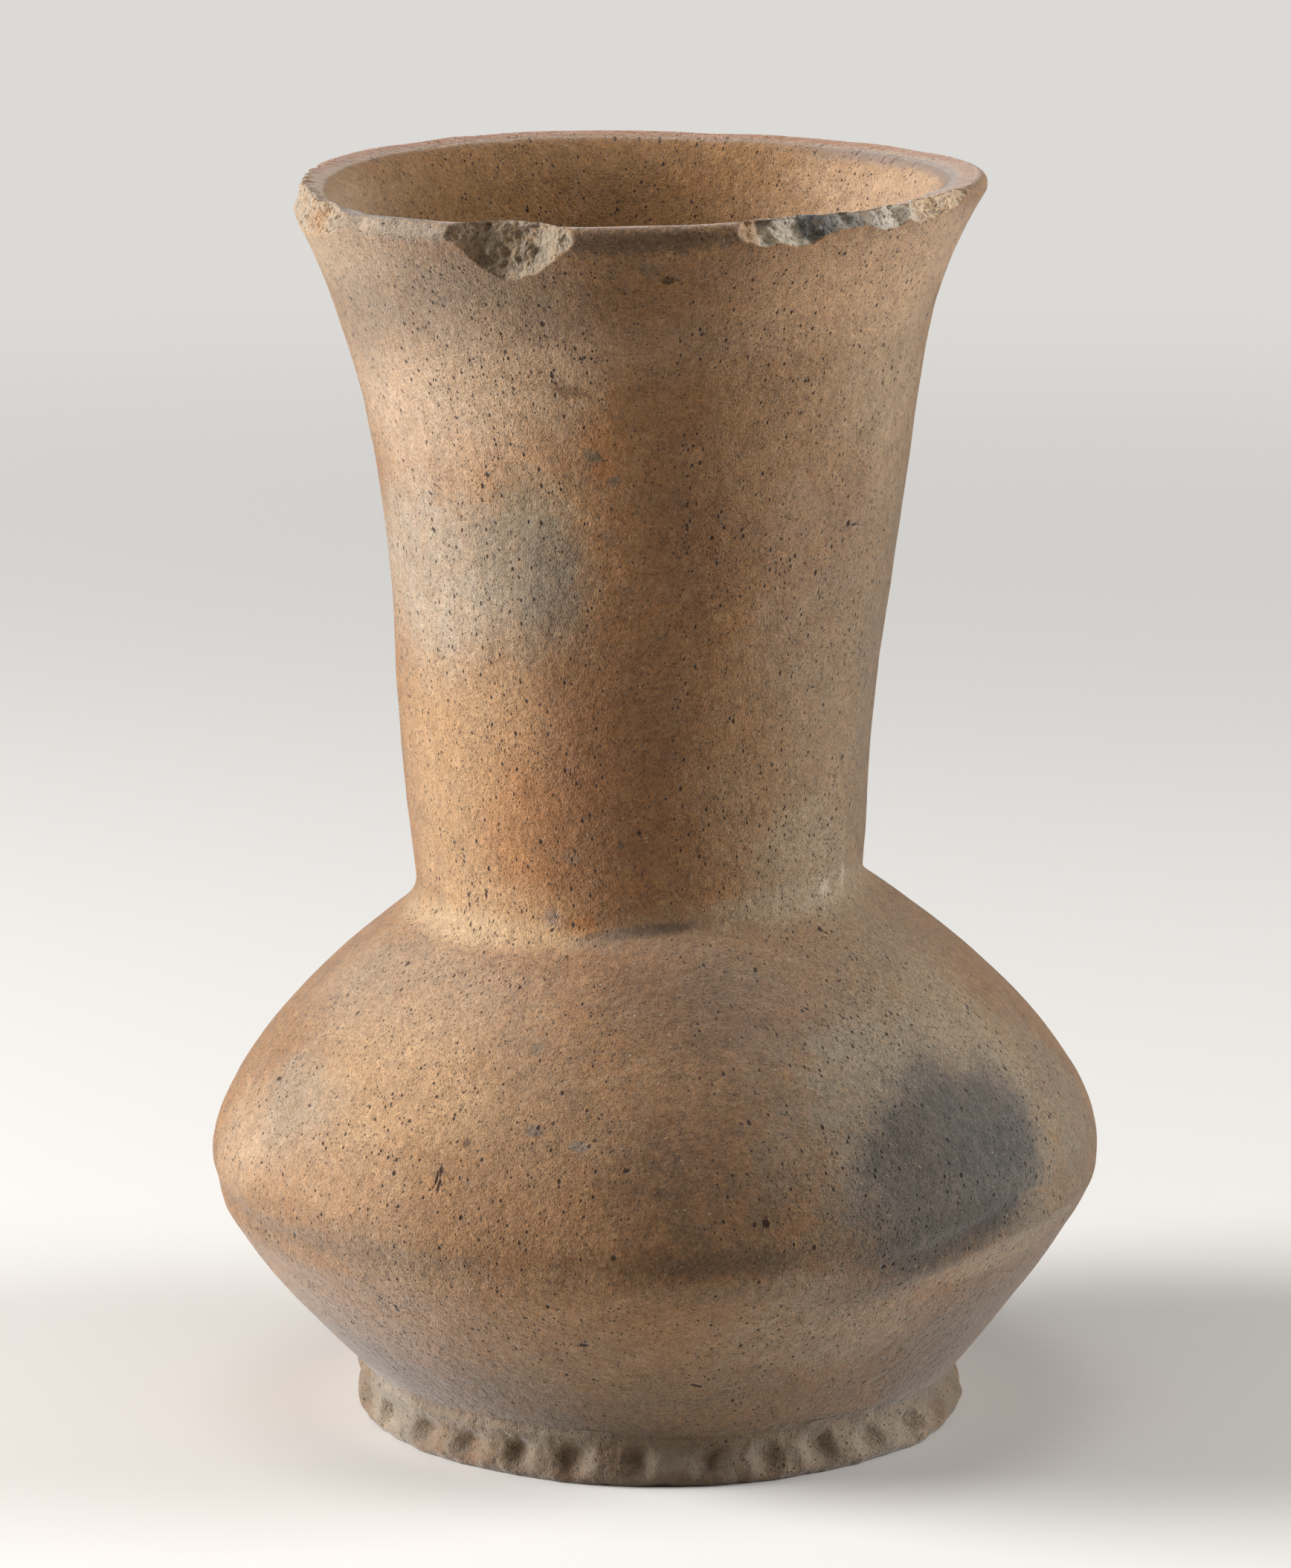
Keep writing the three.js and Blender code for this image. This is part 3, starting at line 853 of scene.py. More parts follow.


# Fire clouds, stains, rubbed places, painted shade and highlights, in the order they lie on the
# clay
fireMarksAndPaintedLight = [
    # turn, height, half width in degrees, half height, colour, strength, and where they aren't the
    # usual ones, raggedness, softness and slant
    (0, 3, 500, 7.0, "#826e5a", 0.75, 0.3, 0.3),
    (0, 0.4, 500, 2.0, "#93694a", 0.55, 0.5, 0.5),
    (-50, 83, 32, 9, "#ad9780", 0.6, 0.4),
    (44, 84, 32, 8, "#a18a71", 0.55, 0.4),
    (17, 84, 10, 6, "#84705c", 0.5, 0.6),
    (-20, 66, 10, 12, "#8f7860", 0.5, 0.6),
    (74, 56, 10, 14, "#7c6e60", 0.6),
    (-42, 71, 20, 11, "#c09d78", 0.7, 0.4, 0.5),
    (-60, 62, 10, 9, "#a39684", 0.55, 0.6),
    (-71, 54, 9, 9, "#c3a688", 0.6),
    (-46, 53, 14, 7, "#b69474", 0.6),
    (-38, 42.5, 15, 4, "#8f7d69", 0.55, 0.7, 0.6, 0.2),
    (-24, 51, 16, 5, "#8a6c52", 0.5, 0.6),
    (9, 66, 18, 23, "#7c624a", 0.65, 0.6, 0.5),
    (13, 76, 11, 9, "#78614a", 0.5, 0.8),
    (4, 60, 9, 9, "#664a36", 0.6, 0.8),
    (1, 55, 6, 10, "#54402e", 0.55, 0.8),
    (0, 82, 12, 5, "#83603f", 0.4, 0.6),
    (61, 74, 10, 9, "#b29c82", 0.5),
    (20, 45, 6, 6, "#8d7d6c", 0.5, 0.6),
    (-22, 33, 12, 7, "#ba916b", 0.5),
    (14, 57, 8, 8, "#6d5540", 0.55, 0.9),
    (22, 62, 6, 9, "#8b705a", 0.5, 0.8, 0.6, 0.3),
    (3, 84, 12, 6, "#7b604a", 0.5, 0.6),
    (-16, 56, 9, 10, "#946d4a", 0.5),
    (-3, 32, 17, 10, "#bb9674", 0.75, 0.5, 0.5),
    (24, 32, 17, 10, "#b3a08c", 0.75, 0.6, 0.5),
    (-42, 30, 30, 10, "#98806a", 0.6, 0.5, 0.5),
    (-38, 14.5, 34, 6, "#7b6b5d", 0.75, 0.5, 0.5),
    (-60, 16, 14, 7, "#6d6055", 0.6, 0.4),
    (0, 22, 22, 8, "#a3907c", 0.5),
    (-24, 3, 13, 6, "#574b3f", 0.35),
    (1, 3, 18, 5.5, "#4a3320", 0.7, 0.5, 0.5),
    (-62, 5, 9, 6, "#c4b8a6", 0.6),
    (52, 4, 12, 6, "#b8aa97", 0.55),
    (-10, 10.3, 24, 2.6, "#7b6f64", 0.55),
    (34, 4, 18, 6, "#ab9b87", 0.5),
    (16, 16, 26, 6.5, "#93806c", 0.6),
    (62, 26, 20, 16, "#7b6b5b", 0.6, 0.4),
    (52, 21, 14, 12, "#6c5c4c", 0.5),
    (-50, 18, 16, 9, "#6d5a48", 0.4),
    (28, 78, 13, 6, "#8d6f5d", 0.4, 0.8),
    (34, 70, 9, 6.5, "#9a8c79", 0.6, 0.7, 0.5),
    (44, 74, 20, 4.5, "#a79982", 0.55, 0.6),
    (47, 60, 26, 18, "#958b78", 0.6, 0.5, 0.5),
    (44, 57, 17.5, 14, "#7e766d", 0.85, 0.4, 0.3, -0.1),
    (44.5, 57.5, 15.5, 12.5, "#5f5852", 0.85, 0.45, 0.25, -0.1),
    (49.5, 58, 9, 8, "#545251", 0.6, 0.5, 0.5),
    (37.5, 60, 6, 8, "#5a5048", 0.5, 0.6),
    # painted shade in the keel crease on the right, under the fire cloud
    (40, 46.2, 13, 4, "#3f3934", 0.75, 0.4, 0.5, -0.3),
    (33, 47, 11, 7, "#655d55", 0.75, 0.5, 0.5, 0.2),
    (33, 40.5, 9, 4, "#685e55", 0.7, 0.6, 0.6, -0.5),
    # painted highlight where the keel edge on the right catches the light
    (52, 39.5, 15, 2.6, "#b99b7a", 0.65, 0.5, 0.5, -0.75),
    (66, 45, 12, 5, "#84725f", 0.6, 0.5, 0.6, -0.5),
    # darker along the keel crease and paler along the ridge under it, at the front and left
    (-24, 42.5, 22, 2.4, "#78604a", 0.3, 0.8, 0.8, 0.2),
    (7, 45.4, 13, 2.4, "#625041", 0.65, 0.6, 0.9, -0.3),
    (10, 40.4, 12, 1.8, "#94826e", 0.5, 0.6),
    (-54, 42, 16, 1.5, "#7c6550", 0.45, 0.6, 0.7),
    (140, 66, 26, 13, "#8a7a68", 0.6, 0.4, 0.5, 0.1),
    (146, 64, 15, 8, "#6a6059", 0.6, 0.5, 0.5),
    (-150, 56, 24, 12, "#a98f75", 0.6),
    (-118, 72, 16, 9, "#84705b", 0.5),
    (178, 26, 30, 9, "#a28f7b", 0.6),
    (110, 30, 22, 10, "#8b7561", 0.5),
    (-110, 26, 22, 9, "#7f6c5b", 0.5),
    (-17, 66, 1.3, 0.9, "#6b6056", 0.75, 0.6, 0.5),
    (-10.3, 64, 1.4, 0.8, "#7b756c", 0.65, 0.7),
    (-18.5, 77.5, 0.8, 0.7, "#75665a", 0.7, 0.7),
    (-26.5, 63.3, 0.5, 0.8, "#564a40", 0.7, 0.6, 0.5),
    # the neck
    (-48, 119, 26, 24, "#bf9a73", 0.65, 0.4, 0.5),
    (-29, 108, 12, 17, "#a87246", 0.65),
    (-54, 182, 25, 15, "#c5ad94", 0.68, 0.4),
    (-24, 191, 17, 13, "#b99d80", 0.65),
    # painted shade down the middle of the neck, where neither side lamp reaches
    (-7, 118, 17, 25, "#805536", 0.58),
    (5, 160, 10, 34, "#836046", 0.45, 0.6, 0.7),
    (34, 120, 16, 26, "#9a7c5c", 0.55),
    (58, 126, 22, 44, "#9a856d", 0.7),
    (80, 126, 14, 40, "#7f6d5a", 0.6, 0.4),
    (16, 161, 12, 10, "#83634e", 0.5, 0.6),
    (33, 182, 16, 18, "#ac8c6c", 0.55, 0.5, 0.7),
    (2, 195, 26, 6, "#ab8e74", 0.55, 0.5, 0.7),
    (-22, 167, 10, 6, "#ab9172", 0.5, 0.5, 0.7),
    (34, 155, 9, 14, "#a48d78", 0.5, 0.6, 0.7),
    (46, 103, 16, 8, "#ab987f", 0.55),
    (-40, 96.5, 20, 4.5, "#c6a37c", 0.55),
    (60, 186, 20, 20, "#b89e80", 0.7),
    (-56, 152, 30, 14.5, "#b1a593", 0.7, 0.5, 0.5),
    (-26, 156, 14, 12.5, "#8b7e6c", 0.7, 0.55, 0.5, 0.1),
    (-20, 155, 7.5, 9, "#70665a", 0.6, 0.8),
    (-25, 166, 7, 6, "#857a66", 0.5, 0.8),
    (-32, 141, 9, 6, "#8f7152", 0.4, 0.8),
    (-17, 141, 7, 8, "#75573d", 0.5, 0.7),
    (52, 158, 12, 11, "#8a7060", 0.3, 0.7, 0.7),
    (8, 183, 8, 4, "#a07148", 0.35, 0.5, 0.7),
    (-9, 178.5, 3.2, 3.0, "#a97346", 0.55, 0.6, 0.7),
    (-7.6, 172.6, 2.8, 2.6, "#a97042", 0.55, 0.6, 0.7),
    (-9.9, 175.6, 1.9, 0.9, "#67604f", 0.75, 0.8, 0.5, 0.3),
    (-6.0, 171.3, 1.5, 0.9, "#625a50", 0.75, 0.8, 0.5, -0.6),
    (-14, 186.8, 3.6, 1.0, "#614733", 0.6, 0.9, 0.7, 0.3),
    (-4.1, 108.2, 0.9, 0.8, "#5d5244", 0.75, 0.7, 0.5),
    (-17, 106, 2.0, 1.1, "#76685c", 0.5, 0.8),
    (-10.2, 152, 0.6, 0.9, "#c09a6e", 0.6, 0.3, 0.4),
    (-48, 92.3, 34, 2.0, "#cbac87", 0.65, 0.4, 0.7),
    (-24, 92.4, 9, 1.4, "#c09b70", 0.6, 0.5, 0.7),
    (-14, 94.0, 5.5, 1.7, "#ad7038", 0.6, 0.8, 0.6, 0.2),
    # painted shadow along the root of the neck, with the darker line at 93.2 below
    (-8, 92.4, 8, 1.1, "#73665c", 0.5, 0.6, 0.7, -0.6),
    (-23, 95.4, 2.4, 1.6, "#8c8078", 0.5, 0.8),
    (46, 94.8, 30, 3.0, "#b3a28a", 0.65, 0.5, 0.7),
    # painted shadow along the root of the neck, right of the middle
    (3, 93.2, 12, 0.9, "#4f4036", 0.8, 0.5, 0.6, -0.3),
    (54.1, 95.5, 1.7, 1.6, "#cbb9a2", 0.8, 0.4, 0.4),
    (63, 96.2, 1.1, 2.2, "#c8b69f", 0.7, 0.4, 0.4),
    (165, 140, 24, 26, "#a99579", 0.6, 0.5, 0.5),
    (172, 150, 14, 12, "#877a69", 0.6, 0.6, 0.5, 0.1),
    (-125, 118, 22, 22, "#a5714a", 0.5),
    (-150, 172, 24, 14, "#8c7256", 0.5),
    (118, 108, 20, 12, "#7f6248", 0.5),
    # the lip
    (180, 203, 90, 18, "#936e46", 0.65, 0.3, 0.4),
    (-125, 202, 26, 9, "#77582f", 0.5),
    (-47, 203, 27, 10.5, "#857666", 0.7, 0.4),
    (-70, 196, 14, 9, "#83705b", 0.6),
    (-17, 204, 16, 8, "#745f4c", 0.6, 0.6),
    (16, 205, 7, 4, "#7d6250", 0.5, 0.6),
    (-2, 200, 10, 5, "#836347", 0.4, 0.6, 0.7),
    (24, 203, 12, 7, "#a57d5b", 0.5, 0.5, 0.7),
    (50, 203, 28, 10.5, "#d2aa85", 0.75, 0.4, 0.5),
    (2, 208, 2.2, 1.0, "#6b6558", 0.5, 0.8),
    (5.2, 205.8, 1.0, 0.7, "#433319", 0.8, 0.6, 0.4),
    # painted shade on the front of the lip, just under the crest
    (-1, 213.0, 22, 2.2, "#5a4838", 0.8, 0.6),
    (-44, 213.8, 17, 1.7, "#948779", 0.75, 0.4, 0.5),
    (-84, 209, 34, 7, "#bfa382", 0.6),
    (112, 205, 34, 12, "#c9a98b", 0.7, 0.4),
]
# holes and cracks: turn, height, half width in degrees, half height, and slant if there is one
holes = [
    (-29.3, 58.9, 0.24, 0.75), (-29.7, 57.6, 0.16, 0.9), (-29.2, 56.4, 0.18, 1.0),
    (13.5, 52.4, 0.45, 0.75, 0.1), (-9.6, 29.8, 0.7, 0.32), (6.2, 21.0, 0.7, 0.3, 0.9),
    (-37, 33, 0.25, 0.8), (-5.2, 47.2, 0.3, 0.4), (-3.8, 60.6, 0.4, 0.35),
    (-16.2, 66.4, 0.25, 0.3), (46.3, 89.8, 0.55, 0.35), (24.3, 86.5, 0.5, 0.3),
    (-57.5, 86, 0.5, 0.3), (-68, 65.3, 0.5, 0.35), (30, 42.6, 0.4, 0.3), (31.4, 42.7, 0.3, 0.3),
    (13, 42.4, 0.3, 0.35), (50.2, 159.7, 0.6, 0.5), (52.6, 159.2, 0.9, 0.3, 0.4),
    (59.2, 117.8, 0.7, 0.55), (0.3, 110.4, 0.5, 0.4), (10.2, 117.6, 0.35, 0.4),
    (-14.4, 119.1, 0.4, 0.4), (-24.3, 108.7, 0.45, 0.4), (-34.2, 171.6, 0.55, 0.35),
    (-22, 163.9, 0.3, 0.4), (-29.6, 155.6, 0.3, 0.3), (-9.5, 128.8, 0.35, 0.35),
    (22.5, 128.6, 0.35, 0.4), (-52, 167, 0.5, 0.35), (-26.6, 133, 0.35, 0.35),
    (-16.4, 186.0, 0.3, 0.4), (-42.4, 98.3, 0.3, 0.8), (-22.5, 93.4, 0.5, 0.25),
    (-8.2, 93.3, 0.35, 0.3), (-13.3, 112.5, 0.35, 0.3),
]
clayTones = {
    "base": "#97714f",
    # size, from, to, colour and strength of each uneven layer, widest first
    "layers": [
        (46, 0.38, 0.62, "#a3764c", 0.7),
        (18, 0.50, 0.74, "#a98b69", 0.45),
        (8, 0.45, 0.72, "#7f634b", 0.5),
        (3.1, 0.50, 0.66, "#b08d66", 0.4),
        (2.2, 0.52, 0.68, "#84705e", 0.45),
    ],
    # grains, coarse to fine: size, and how much they are lighter or darker than the clay round them
    "grains": [(4.2, 0.09), (1.5, 0.12), (0.7, 0.19), (0.3, 0.34)],
    # painted shade inside the pits, holes and cracks
    "pitShade": "#2a1508",
    "speckColour": "#cdbfa8",
    # depth of grains, fine and coarse unevenness, specks and pits
    "relief": (0.22, 0.34, 0.3, 0.05, -0.3),
    "roughness": (0.68, 0.84),
    "specular": 0.15,
    "sheen": 0.45,
    "sheenRoughness": 0.42,
}
# scattered pits, coarse to fine: spacing, share of the places that have one, radius, strength
pitSizes = [(2.2, 0.31, 0.43, 1.0), (1.1, 0.7, 0.31, 0.95), (0.6, 0.6, 0.2, 0.75)]


def placeMark(tree, mark, at, middle, level, wide, tall, rough=0.5, soft=0.6, slant=0.0):
    # wide marks are broken up by the mottled clay, small ones are only frayed
    small = tall < 2.5
    broken = 0.0 if small else times(tree, at["Mottle"], 0.55 * rough)
    ragged = at["Frayed" if small else "Ragged"]
    return useGroup(tree, mark, Turn=at["Turn"], Height=at["Height"], Ragged=ragged, Middle=middle,
                    Level=level, Wide=wide, Tall=tall, Slant=slant, Soft=soft, Rough=rough,
                    Broken=broken)["Mask"]


def makeClayGroup(name, low, high, where, mark, pits):
    # the fired skin of the clay, with the marks that lie between two heights
    tree, given, out = startGroup(name, ("Stretch", "Share"), ("Color", "Bump", "Roughness"))
    at = useGroup(tree, where)
    place = at["Place"]
    tone = colour(clayTones["base"])
    for size, start, end, paint, strength in clayTones["layers"]:
        patch = ramp(tree, noise(tree, place, size, 3.0), start, end, 0.0, strength)
        tone = layer(tree, patch, tone, colour(paint))
    for turn, height, wide, tall, paint, strength, *edge in fireMarksAndPaintedLight:
        if low < height + 2 * tall and height - 2 * tall < high:
            mask = placeMark(tree, mark, at, turn, height, wide, tall, *edge)
            tone = paintOver(tree, tone, mask, strength, paint)
    shade = 1.0
    for size, share in clayTones["grains"]:
        grain = noise(tree, place, size)
        shade = calc(tree, "ADD", shade, ramp(tree, grain, 0.28, 0.72, -share, share, "LINEAR"))
    shade = addNode(tree, "CombineColor", {0: shade, 1: shade, 2: shade})[0]
    tone = layer(tree, 1.0, tone, shade, "MULTIPLY")
    specks = useGroup(tree, pits, Place=place, Stretch=(1, 1, 1), Cell=1.4, Share=0.25,
                      Size=0.3)["Mask"]
    tone = paintOver(tree, tone, specks, 0.4, clayTones["speckColour"])
    # pits lie denser in some parts than in others
    crowd = times(tree, given["Share"], ramp(tree, noise(tree, place, 17), 0.35, 0.65, 0.55, 1.5))
    hollow = 0.0
    for cell, share, size, strength in pitSizes:
        mask = useGroup(tree, pits, Place=at["Wall"], Stretch=given["Stretch"], Cell=cell,
                        Share=times(tree, crowd, share), Size=size)["Mask"]
        hollow = calc(tree, "MAXIMUM", times(tree, mask, strength), hollow)
    for turn, height, wide, tall, *slant in holes:
        if low < height < high:
            there = placeMark(tree, mark, at, turn, height, wide, tall, 0.9, 0.4, *slant)
            hollow = calc(tree, "MAXIMUM", there, hollow)
    # the pits, holes and cracks are painted dark as the shade inside them
    tone = paintOver(tree, tone, hollow, 0.9, clayTones["pitShade"])
    fine, coarse = noise(tree, place, 1.6), noise(tree, place, 4.5)
    bump = addUp(tree, (grain, fine, coarse, specks, hollow), clayTones["relief"])
    rough = ramp(tree, fine, 0.3, 0.7, *clayTones["roughness"])
    return send(tree, out, Color=tone, Bump=bump, Roughness=rough)


fractureTones = {
    "core": "#6f665b",
    "pale": "#b9ac98",
    "warm": "#a17f5c",
    # painted shade in the hollows of the broken faces, and dark bits of temper
    "dark": "#2f2b29",
    "relief": (0.9, 0.25, -0.3),  # of the grain, the light and the dark bits of temper
}
# what shows on the broken faces of the lip: turn, height, half width, half height, colour, strength
fractureMarks = [
    (-27, 210, 5, 8, "#9b836a", 0.7),
    (-21, 209, 5, 8, "#a08a70", 0.65),
    (-13.5, 211.5, 3.8, 4, "#a79880", 0.75),
    (-17, 207.3, 4.5, 1.3, "#a5957a", 0.7),
    (18.0, 212, 2.8, 4, "#d6aa82", 0.85),
    (24.8, 212, 4.6, 4, "#e8dac4", 0.88),
    (30.6, 213.6, 2.8, 2.6, "#686b6d", 0.85),
    (36.4, 213, 3.4, 4, "#b0ada4", 0.75),
    (41.0, 213, 1.6, 4, "#a38f76", 0.7),
    (47.8, 213, 6.4, 4, "#f4e8d4", 0.95),
    (61, 213, 9, 4, "#f6d6b1", 0.97),
    (-84, 211, 36, 8, "#d2bca0", 0.68),
    (-76, 207, 8, 3, "#d8d0c2", 0.7),
    (-70, 211, 5, 3, "#b98552", 0.5),
]
lipWearAndShadow = {
    "colour": "#a87850", "share": 0.6, "halfWidth": 1.1, "middle": 0.2, "patchSize": 4,
    # lines along the inner edge: turn, half width in degrees, how far over the crest, half width,
    # colour, strength
    # the first line is a painted shadow on the crest at the front left
    "lines": [(-50, 15, -0.1, 0.7, "#4a433b", 0.8), (98, 44, 4.6, 1.6, "#917f76", 0.75),
              (180, 90, 0.6, 1.4, "#a3622c", 0.6)],
}


def makeBrokenGroup(where, mark, pits):
    # coarse clay inside the wall, seen where flakes are lost
    tree, given, out = startGroup("brokenClay", (), ("Color", "Bump"))
    at = useGroup(tree, where)
    place = at["Place"]
    mix = ramp(tree, noise(tree, place, 2.2, 3.0), 0.4, 0.62)
    tone = layer(tree, mix, colour(fractureTones["core"]), colour(fractureTones["warm"]))
    for turn, height, wide, tall, paint, strength in fractureMarks:
        mask = placeMark(tree, mark, at, turn, height, wide, tall, 0.5, 0.35)
        tone = paintOver(tree, tone, mask, strength, paint)
    grain = noise(tree, place, 0.8, 4.0)
    temper = {"Place": place, "Stretch": (1, 1, 1)}
    light = useGroup(tree, pits, Cell=1.1, Share=0.7, Size=0.55, **temper)["Mask"]
    dark = useGroup(tree, pits, Cell=1.0, Share=0.5, Size=0.4, **temper)["Mask"]
    tone = paintOver(tree, tone, light, 0.35, fractureTones["pale"])
    # painted shade where the grain lies low, with the dark bits of temper
    shadeAndDarkTemper = ramp(tree, grain, 0.48, 0.34, 0.0, 0.45)
    shadeAndDarkTemper = calc(tree, "MAXIMUM", shadeAndDarkTemper, times(tree, dark, 0.55))
    tone = layer(tree, shadeAndDarkTemper, tone, colour(fractureTones["dark"]))
    bump = addUp(tree, (grain, light, dark), fractureTones["relief"])
    return send(tree, out, Color=tone, Bump=bump)


clayFinishes = {
    "foot": {"pitStretch": (1, 1, 1), "pitShare": 1.3, "dust": "#8c8070", "dustShare": 0.75},
    "body": {"pitStretch": (0.8, 0.8, 1.5), "pitShare": 1.0, "dust": "#94877a", "dustShare": 0.55},
    "neck": {"pitStretch": (1.2, 1.2, 1.6), "pitShare": 1.0, "dust": "#ab957a", "dustShare": 0.25},
    "lip": {"pitStretch": (1, 1, 1.4), "pitShare": 1.0, "dust": "#ab957a", "dustShare": 0.0},
}


def makeDustGroup(where):
    # pale dust that settles low on the foot, along its join and round the root of the neck
    tree, given, out = startGroup("settledDust", ("Share",), ("Mask",))
    at = useGroup(tree, where)
    low = ramp(tree, at["Height"], 12.5, 8.0)
    root = ramp(tree, away(tree, at["Height"], form["rootHeight"] + 0.5), 4.5, 1.0)
    patchy = ramp(tree, noise(tree, at["Place"], 5, 4.0), 0.3, 0.7, 0.25, 1.0)
    mask = times(tree, calc(tree, "MAXIMUM", low, root), patchy)
    return send(tree, out, Mask=times(tree, mask, given["Share"]))


def makeWearAndShadowGroup(where, mark):
    # the crest of the lip is rubbed pale, and lines run along its inner edge, one a painted shadow
    tree, given, out = startGroup("lipWearAndShadow", ("Over", "Color"), ("Color",))
    at = useGroup(tree, where)
    patchy = ramp(tree, noise(tree, at["Place"], lipWearAndShadow["patchSize"], 4.0), 0.3, 0.65, 0.2, 1.0)
    far, half = away(tree, given["Over"], lipWearAndShadow["middle"]), lipWearAndShadow["halfWidth"]
    rubbed = ramp(tree, far, half * 1.3, half * 0.6, 0.0, lipWearAndShadow["share"])
    tone = paintOver(tree, given["Color"], rubbed, patchy, lipWearAndShadow["colour"])
    for turn, wide, middle, half, paint, strength in lipWearAndShadow["lines"]:
        line = ramp(tree, away(tree, given["Over"], middle), half * 1.4, half * 0.5, 0.0, strength)
        there = placeMark(tree, mark, at, turn, form["crest"], wide, 20, 0.2, 0.3)
        tone = paintOver(tree, tone, line, there, paint)
    return send(tree, out, Color=tone)


def makeClay(name, groups):
    look = clayFinishes[name]
    material = bpy.data.materials.new(name + "Clay")
    material.use_nodes = True
    tree = material.node_tree
    clay = useGroup(tree, groups[name], Stretch=look["pitStretch"], Share=look["pitShare"])
    tone, bump, rough = clay["Color"], clay["Bump"], clay["Roughness"]
    if look["dustShare"]:
        dust = useGroup(tree, groups["dust"], Share=look["dustShare"])["Mask"]
        tone = layer(tree, dust, tone, colour(look["dust"]))
        rough = layer(tree, dust, rough, (0.95, 0.95, 0.95, 1))
    if name == "lip":
        over = addNode(tree, "Attribute", {}, attribute_name="overLip")["Fac"]
        tone = useGroup(tree, groups["wearAndShadow"], Over=over, Color=tone)["Color"]
        mask = addNode(tree, "Attribute", {}, attribute_name="broken")["Fac"]
        mask = timesPlus(tree, useGroup(tree, groups["where"])["Frayed"], 0.25, mask)
        mask = ramp(tree, mask, 0.3, 0.75)
        broken = useGroup(tree, groups["broken"])
        tone = layer(tree, mask, tone, broken["Color"])
        bump = addNode(tree, "Mix", {0: mask, 2: bump, 3: broken["Bump"]}, data_type="FLOAT")[0]
    relief = addNode(tree, "Bump", {"Height": bump, "Distance": metre, "Strength": 1.0})[0]
    # fine dust on the skin lightens it towards its edges, so the sheen is high
    plug(tree, tree.nodes["Principled BSDF"], {
        "Base Color": tone, "Roughness": rough, "Specular IOR Level": clayTones["specular"],
        "Sheen Weight": clayTones["sheen"], "Sheen Roughness": clayTones["sheenRoughness"],
        "Normal": relief})
    return material


def paintVessel(pieces):
    where = makeWhereGroup()
    mark, pits = makeMarkGroup(), makePitGroup()
    low = makeClayGroup("bodyFired", 0, luting["rootHigh"], where, mark, pits)
    high = makeClayGroup("neckFired", luting["rootLow"], form["crest"] + 3, where, mark, pits)
    groups = {"foot": low, "body": low, "neck": high, "lip": high, "where": where,
              "broken": makeBrokenGroup(where, mark, pits), "dust": makeDustGroup(where),
              "wearAndShadow": makeWearAndShadowGroup(where, mark)}
    for name, members in pieces.items():
        material = makeClay(name, groups)
        for piece in members:
            piece.data.materials.append(material)
    print("clay painted:", ", ".join(pieces))


# Floor, lamps and camera

studio = {
    "floorColour": "#f0eeea",
    "floorBounce": "#c2baae",  # what the floor throws back at the vessel
    "floorSize": 9.0,
    "floorFade": (0.3, 1.3),
    "skyColour": "#dcdad6",
    "ambient": 0.055,
    "aim": (0, 0, 0.11),
    # where each lamp stands: turn round the vessel, degrees above the aim, metres away
    "lamps": {
        "keyLamp": {"turn": -86, "rise": 18, "far": 1.5, "size": 0.8, "power": 38.5,
                    "tint": (0.99, 0.99, 1.0)},
        "fillLamp": {"turn": 86, "rise": 20, "far": 1.5, "size": 0.9, "power": 18.8,
                     "tint": (0.96, 0.98, 1.0)},
        "topLamp": {"turn": -20, "rise": 82, "far": 1.5, "size": 1.0, "power": 5.1,
                    "tint": (1.0, 0.96, 0.88)},
    },
    "cameraPlace": (-0.0021, -1.300, 0.397),
    "cameraPitch": 12.45,  # degrees down
    "lens": 177.7,
    "sensor": 36,
}


def seenDirectly(tree):
    path = addNode(tree, "LightPath", {})
    shiny = calc(tree, "MAXIMUM", path["Is Glossy Ray"], path["Is Transmission Ray"])
    return calc(tree, "MAXIMUM", path["Is Camera Ray"], shiny)


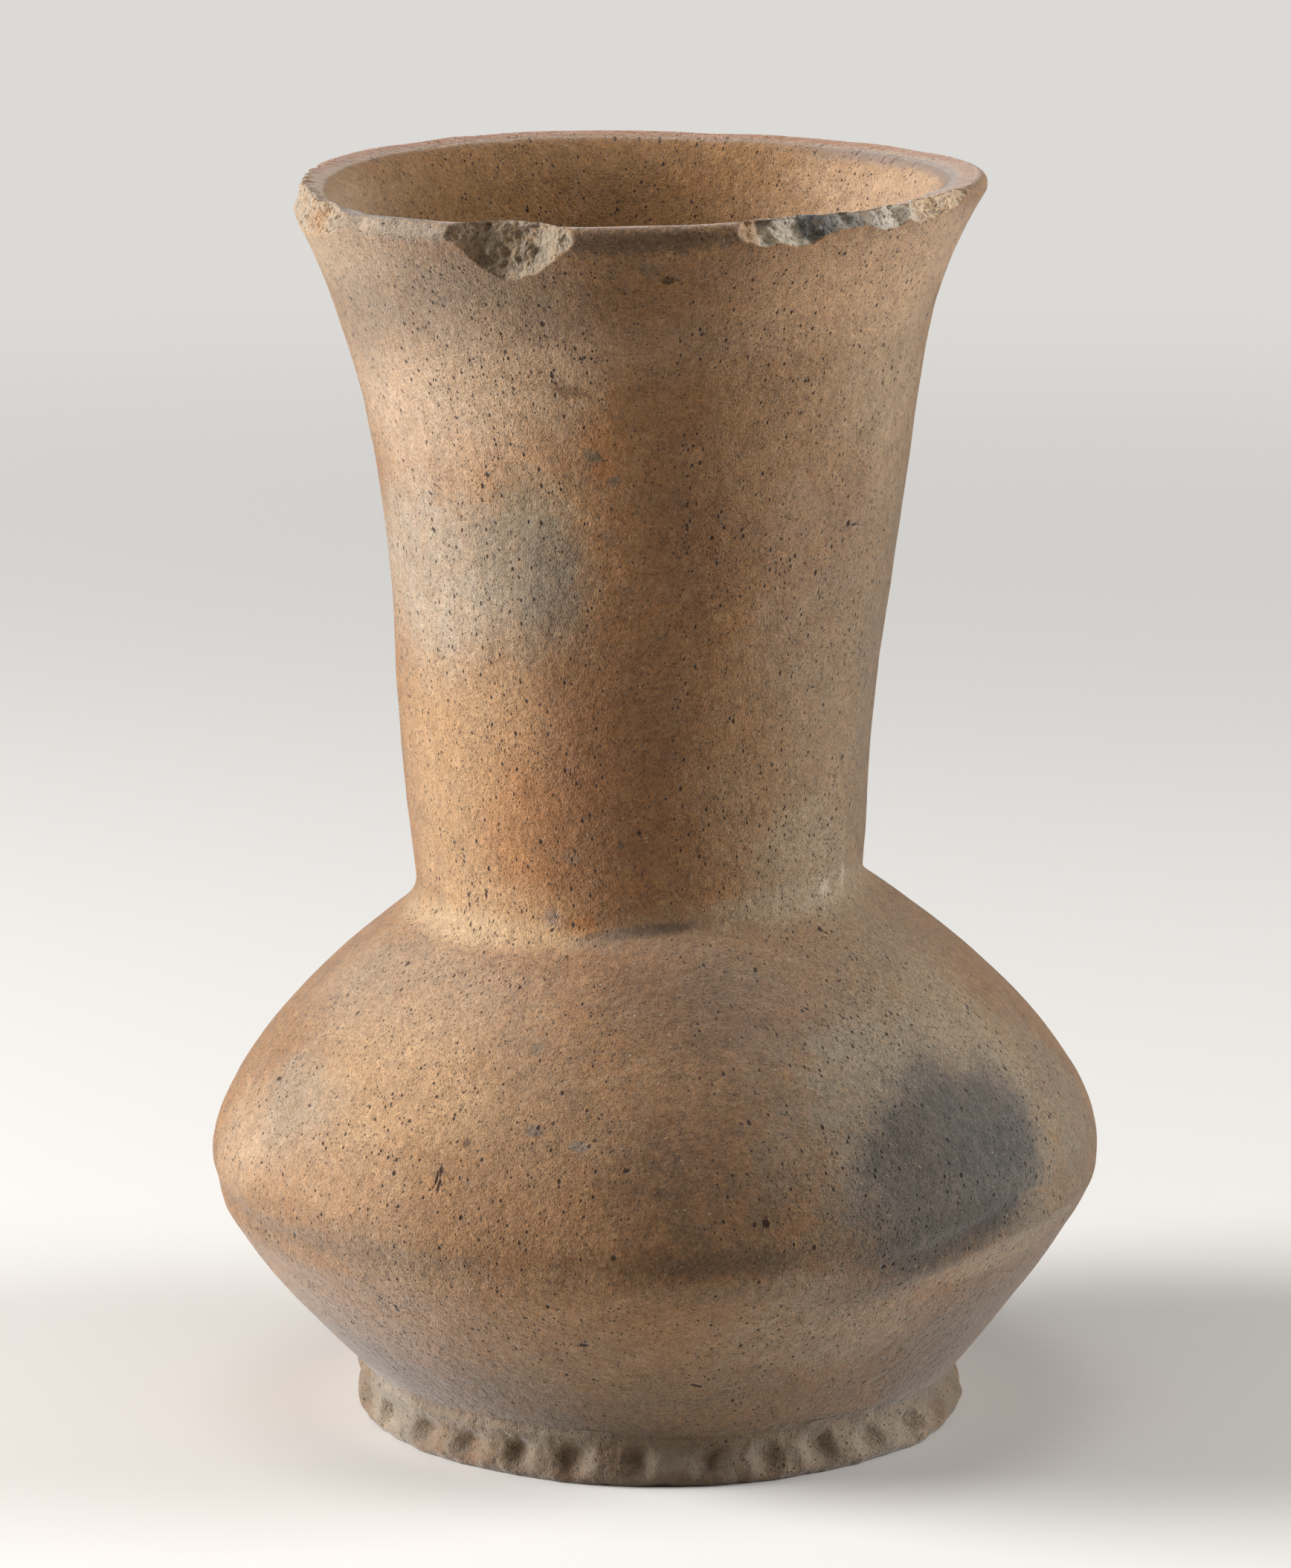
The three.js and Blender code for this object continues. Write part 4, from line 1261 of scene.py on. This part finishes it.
def makeFloor():
    half = studio["floorSize"]
    corners = [(-half, -half, 0), (half, -half, 0), (half, half, 0), (-half, half, 0)]
    mesh = bpy.data.meshes.new("floor")
    mesh.from_pydata(corners, [], [(0, 1, 2, 3)])
    floor = bpy.data.objects.new("floor", mesh)
    bpy.context.scene.collection.objects.link(floor)
    material = bpy.data.materials.new("paleFloor")
    material.use_nodes = True
    tree = material.node_tree
    seen = seenDirectly(tree)
    tone = layer(tree, seen, colour(studio["floorBounce"]), colour(studio["floorColour"]))
    shader = plug(tree, tree.nodes["Principled BSDF"], {
        "Base Color": tone, "Roughness": 1.0, "Specular IOR Level": 0.0})[0]
    # further off, the floor runs out into an even pale backdrop
    place = addNode(tree, "NewGeometry", {})["Position"]
    far = vectorCalc(tree, "LENGTH", place)["Value"]
    fade = times(tree, ramp(tree, far, *studio["floorFade"]), seen)
    backdrop = addNode(tree, "Emission", {"Color": colour(studio["skyColour"]), "Strength": 1.0})[0]
    mixed = addNode(tree, "MixShader", {0: fade, 1: shader, 2: backdrop})[0]
    tree.links.new(mixed, tree.nodes["Material Output"].inputs["Surface"])
    mesh.materials.append(material)


def makeLamp(name, turn, rise, far, size, power, tint):
    lamp = bpy.data.lights.new(name, "AREA")
    lamp.shape = "DISK"
    lamp.size = size
    lamp.energy = power
    lamp.color = tint
    holder = bpy.data.objects.new(name, lamp)
    turn, rise, aim = math.radians(turn), math.radians(rise), Vector(studio["aim"])
    level, up = far * math.cos(rise), far * math.sin(rise)
    holder.location = aim + Vector((level * math.sin(turn), -level * math.cos(turn), up))
    holder.rotation_euler = (aim - holder.location).to_track_quat("-Z", "Y").to_euler()
    bpy.context.scene.collection.objects.link(holder)


def makeWorld():
    world = bpy.data.worlds.new("paleRoom")
    world.use_nodes = True
    bpy.context.scene.world = world
    tree = world.node_tree
    plug(tree, tree.nodes["Background"], {
        "Color": colour(studio["skyColour"]),
        "Strength": ramp(tree, seenDirectly(tree), 0.0, 1.0, studio["ambient"], 1.0, "LINEAR")})


def makeCamera():
    camera = bpy.data.cameras.new("camera")
    camera.lens = studio["lens"]
    camera.sensor_width = studio["sensor"]
    holder = bpy.data.objects.new("camera", camera)
    holder.location = studio["cameraPlace"]
    holder.rotation_euler = (math.radians(90 - studio["cameraPitch"]), 0, 0)
    bpy.context.scene.collection.objects.link(holder)
    bpy.context.scene.camera = holder


makeCamera()
pieces = makeVessel()
paintVessel(pieces)
makeFloor()
for name, lamp in studio["lamps"].items():
    makeLamp(name, **lamp)
makeWorld()
bpy.context.scene.view_settings.view_transform = "Standard"
print("studio ready")
